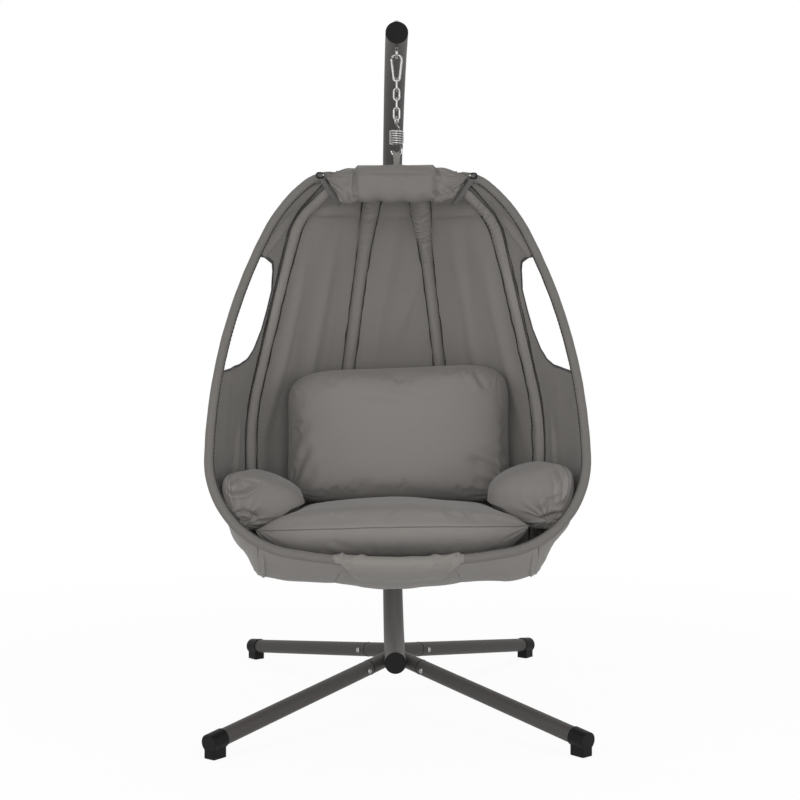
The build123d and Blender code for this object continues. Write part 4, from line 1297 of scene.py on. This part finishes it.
class CHAIR_OT_head(bpy.types.Operator):
    """Make the head bolster and the straps that hold it"""
    bl_idname = "hanging_chair.head"
    bl_label = "Head bolster"

    def execute(self, context):
        def place(u, v, face):
            x = -0.004 * (1.0 - abs(u)) + u * (0.1675 + 0.0185 * v)
            near = abs(x + 0.004)
            wing = soft(0.098, 0.108, near)
            tie = hill(near, 0.104, 0.007)
            wave = 0.004 * noise.noise(Vector((x * 26.0, 3.0, 1.0))) + 0.002 * sin(x * 110.0)
            top = 1.486 + 0.002 * u - 0.008 * wing - 0.022 * soft(0.12, 0.186, near)
            foot = 1.385 + wave - 0.002 * wing + (0.014 * soft(0.11, 0.155, x) if x > 0 else 0.0)
            z = foot + (top - foot) * (v + 1.0) / 2.0
            full = fullness(u, v, 3.4, 0.5)
            crumple = wing * noise.noise(Vector((x * 34.0, 3.0 * face, z * 34.0)))
            depth = full * (0.019 + 0.003 * (1.0 - wing) - 0.008 * tie + 0.006 * crumple)
            back_over = 0.020 * soft(1.455, 1.490, z) * (1.0 - 0.45 * hill(x, 0.0, 0.016))
            return Vector((x, BAR.y - 0.0415 + back_over - face * depth, z))

        piece, order = pillow("head_pad", 150, 44, place, lambda u, v: (u * 0.19, v * 0.07))
        swell(piece, cloth().puff * 0.7, 0.006, bending=0.05)
        folds = (
            (((-0.115, 1.459), (0.105, 1.458)), 0.004, 0.0022),
            (((-0.108, 1.474), (-0.112, 1.425)), 0.004, 0.0050),
            (((-0.130, 1.412), (-0.124, 1.384)), 0.004, 0.0046),
            (((-0.112, 1.400), (-0.095, 1.386)), 0.004, 0.0036),
            (((-0.165, 1.452), (-0.120, 1.430)), 0.005, 0.0030),
            (((0.099, 1.478), (0.112, 1.448)), 0.004, 0.0050),
            (((0.100, 1.446), (0.150, 1.418)), 0.005, 0.0040),
            (((0.092, 1.412), (0.120, 1.396)), 0.004, 0.0046),
            (((0.135, 1.425), (0.160, 1.410)), 0.004, 0.0032),
            (((0.110, 1.432), (0.128, 1.402)), 0.004, 0.0036),
        )
        gathered = (((-0.190, 1.450), 30, 0.075, 0.008), ((0.190, 1.450), 30, 0.075, 0.008))
        work_in(piece, creased(folds, gathered, 4.0))
        kept_in(piece, ("top_bar", "webbing_strap"), Vector((0.0, 1.0, 0.0)), 0.003, 0.008)
        smooth_once(piece)
        # Its finish is the cushion cloth darkened: painted shade.
        dressed(piece, finish("head cloth with painted shade"), "chair", "cushion_cloth", "head_bolster")
        sewn_edge("head_pad_seam", piece, order, 0.0010, finish("cushion thread"))
        for word, side in SIDES:
            self.buckle(word, side)
            self.strap(word, side)
        return {"FINISHED"}

    def buckle(self, word, side):
        """A slim ring for the strap, with a rivet."""
        low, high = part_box(f"buckle_{word}")
        middle = (low + high) / 2

        def loop(share):
            turn = 2.0 * pi * share
            wide, tall = [0.0085 * (1.0 if way > 0 else -1.0) * abs(way) ** 0.6
                          for way in (cos(turn), sin(turn))]
            return middle + Vector((wide, 0.0, 0.8 * tall))

        ring = tube_piece(f"buckle_ring_{word}", loop, away_from(middle), oval(0.0026, 0.0019), 64,
                          closed=True, segments=10)
        dressed(ring, finish("black plastic"), "chair", "black_plastic", f"buckle_{word}")
        shape = bmesh.new()
        bmesh.ops.create_uvsphere(shape, u_segments=20, v_segments=12, radius=0.0028)
        bmesh.ops.scale(shape, vec=(1.0, 0.5, 1.0), verts=shape.verts)
        bmesh.ops.translate(shape, vec=middle + Vector((-0.0090 * side, -0.0036, 0.0)), verts=shape.verts)
        dressed(new_object(f"buckle_rivet_{word}", shape), finish("zinc plate"), "chair", "zinc")

    def strap(self, word, side):
        """A short flat strap from the buckle down behind the bolster's end."""
        low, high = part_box(f"buckle_{word}")
        start = (low + high) / 2 + Vector((0.0, 0.001, 0.004))
        route = Route([start, start + Vector((-0.010 * side, 0.002, -0.022)),
                       start + Vector((-0.034 * side, 0.010, -0.056)),
                       start + Vector((-0.052 * side, 0.024, -0.078))])

        def surface(across, share):
            return route.at(share) + Vector((0.8, 0.0, -0.45 * side)) * (across - 0.5) * 0.015

        shape = cloth_grid(4, 24, surface, lambda across, share: (across * 0.015, share * route.length))
        piece = thicken(new_object(f"head_strap_{word}", shape), 0.0016)
        dressed(piece, finish("dark strap"), "chair", "webbing")


class CHAIR_OT_stage(bpy.types.Operator):
    """Set the floor, the lights and the camera"""
    bl_idname = "hanging_chair.stage"
    bl_label = "Studio"

    def lamp(self, name, place, aim, size, power):
        light = bpy.data.lights.new(name, "AREA")
        light.shape = "RECTANGLE"
        light.size, light.size_y = size
        light.energy = power
        lamp = bpy.data.objects.new(name, light)
        turned = (aim - place).to_track_quat("-Z", "Y").to_matrix().to_4x4()
        lamp.matrix_world = Matrix.Translation(place) @ turned
        bpy.context.scene.collection.objects.link(lamp)

    def ground(self):
        shape = bmesh.new()
        bmesh.ops.create_grid(shape, x_segments=8, y_segments=8, size=12.0)
        floor = new_object("studio_floor", shape)
        pale = Finish("pale floor")
        grain = pale.noise(pale.place(), 6.0, 3.0)
        body = pale.node("ShaderNodeBsdfPrincipled", None, {
            "Base Color": pale.tint((0.86, 0.86, 0.86), grain, 0.02), "Roughness": 0.85})
        glow = pale.node("ShaderNodeEmission", None, {"Color": (1, 1, 1, 1), "Strength": 1.0})
        away = pale.node("ShaderNodeVectorMath", {"operation": "LENGTH"}, {0: pale.place()}, "Value")
        fade = pale.node("ShaderNodeMapRange", None, {
            "Value": away, "From Min": 0.9, "From Max": 3.0, "To Min": 0.93, "To Max": 1.0})
        floor.data.materials.append(pale.close(pale.node("ShaderNodeMixShader", None, {
            0: pale.seen() * fade, 1: body, 2: glow})))

    def sky(self, scene, strength):
        scene.world = bpy.data.worlds.new("studio")
        sky = Finish("studio", scene.world)
        even = sky.node("ShaderNodeBackground", None, {"Color": (1, 1, 1, 1), "Strength": strength})
        white = sky.node("ShaderNodeBackground", None, {"Color": (1, 1, 1, 1), "Strength": 1.0})
        mixed = sky.node("ShaderNodeMixShader", None, {0: sky.seen(), 1: even, 2: white})
        sky.node("ShaderNodeOutputWorld", None, {"Surface": mixed})

    def execute(self, context):
        scene = context.scene
        settings = scene.chair_stage
        self.ground()
        self.sky(scene, settings.sky)
        aim = Vector((0.0, -0.3, 0.95))
        self.lamp("front_light", Vector((-0.4, -4.9, 1.4)), aim, (3.0, 2.4), settings.front_power)
        self.lamp("key_light", Vector((-3.4, -2.8, 2.6)), aim, (2.4, 2.4), settings.key_power)
        self.lamp("fill_light", Vector((3.4, -2.8, 1.6)), aim, (2.2, 2.6), settings.key_power * 0.9)
        self.lamp("top_light", Vector((0.3, 1.8, 3.8)), aim, (2.6, 2.0), settings.key_power * 0.6)

        lens = bpy.data.cameras.new("photo_camera")
        lens.lens = settings.lens
        lens.sensor_width = 36.0
        lens.shift_y = -0.02
        camera = bpy.data.objects.new("photo_camera", lens)
        camera.location = settings.camera_place
        camera.rotation_euler = (pi / 2, 0.0, -0.023)
        scene.collection.objects.link(camera)
        scene.camera = camera
        scene.view_settings.view_transform = "Standard"
        return {"FINISHED"}


PIECES = (CHAIR_OT_metal, CHAIR_OT_joints, CHAIR_OT_spring, CHAIR_OT_webbing, CHAIR_OT_cover, CHAIR_OT_seat,
          CHAIR_OT_back, CHAIR_OT_arms, CHAIR_OT_head, CHAIR_OT_stage)


class CHAIR_PT_panel(bpy.types.Panel):
    """Lists the chair's pieces in the sidebar"""
    bl_idname = "CHAIR_PT_panel"
    bl_label = "Hanging chair"
    bl_space_type = "VIEW_3D"
    bl_region_type = "UI"
    bl_category = "Hanging chair"

    def draw(self, context):
        for group in (context.scene.chair_cloth, context.scene.chair_metal, context.scene.chair_stage):
            box = self.layout.box()
            for key in group.bl_rna.properties.keys():
                if key not in ("rna_type", "name"):
                    box.prop(group, key)
        for piece in PIECES:
            self.layout.operator(piece.bl_idname)


GROUPS = (("chair_cloth", ChairCloth), ("chair_metal", ChairMetal), ("chair_stage", ChairStage))


def register():
    for name, group in GROUPS:
        bpy.utils.register_class(group)
        setattr(bpy.types.Scene, name, PointerProperty(type=group))
    for piece in PIECES:
        bpy.utils.register_class(piece)
    bpy.utils.register_class(CHAIR_PT_panel)


def unregister():
    bpy.utils.unregister_class(CHAIR_PT_panel)
    for piece in reversed(PIECES):
        bpy.utils.unregister_class(piece)
    for name, group in reversed(GROUPS):
        delattr(bpy.types.Scene, name)
        bpy.utils.unregister_class(group)


def main():
    register()
    for piece in PIECES:
        group, name = piece.bl_idname.split(".")
        getattr(getattr(bpy.ops, group), name)()


if __name__ == "__main__":
    main()
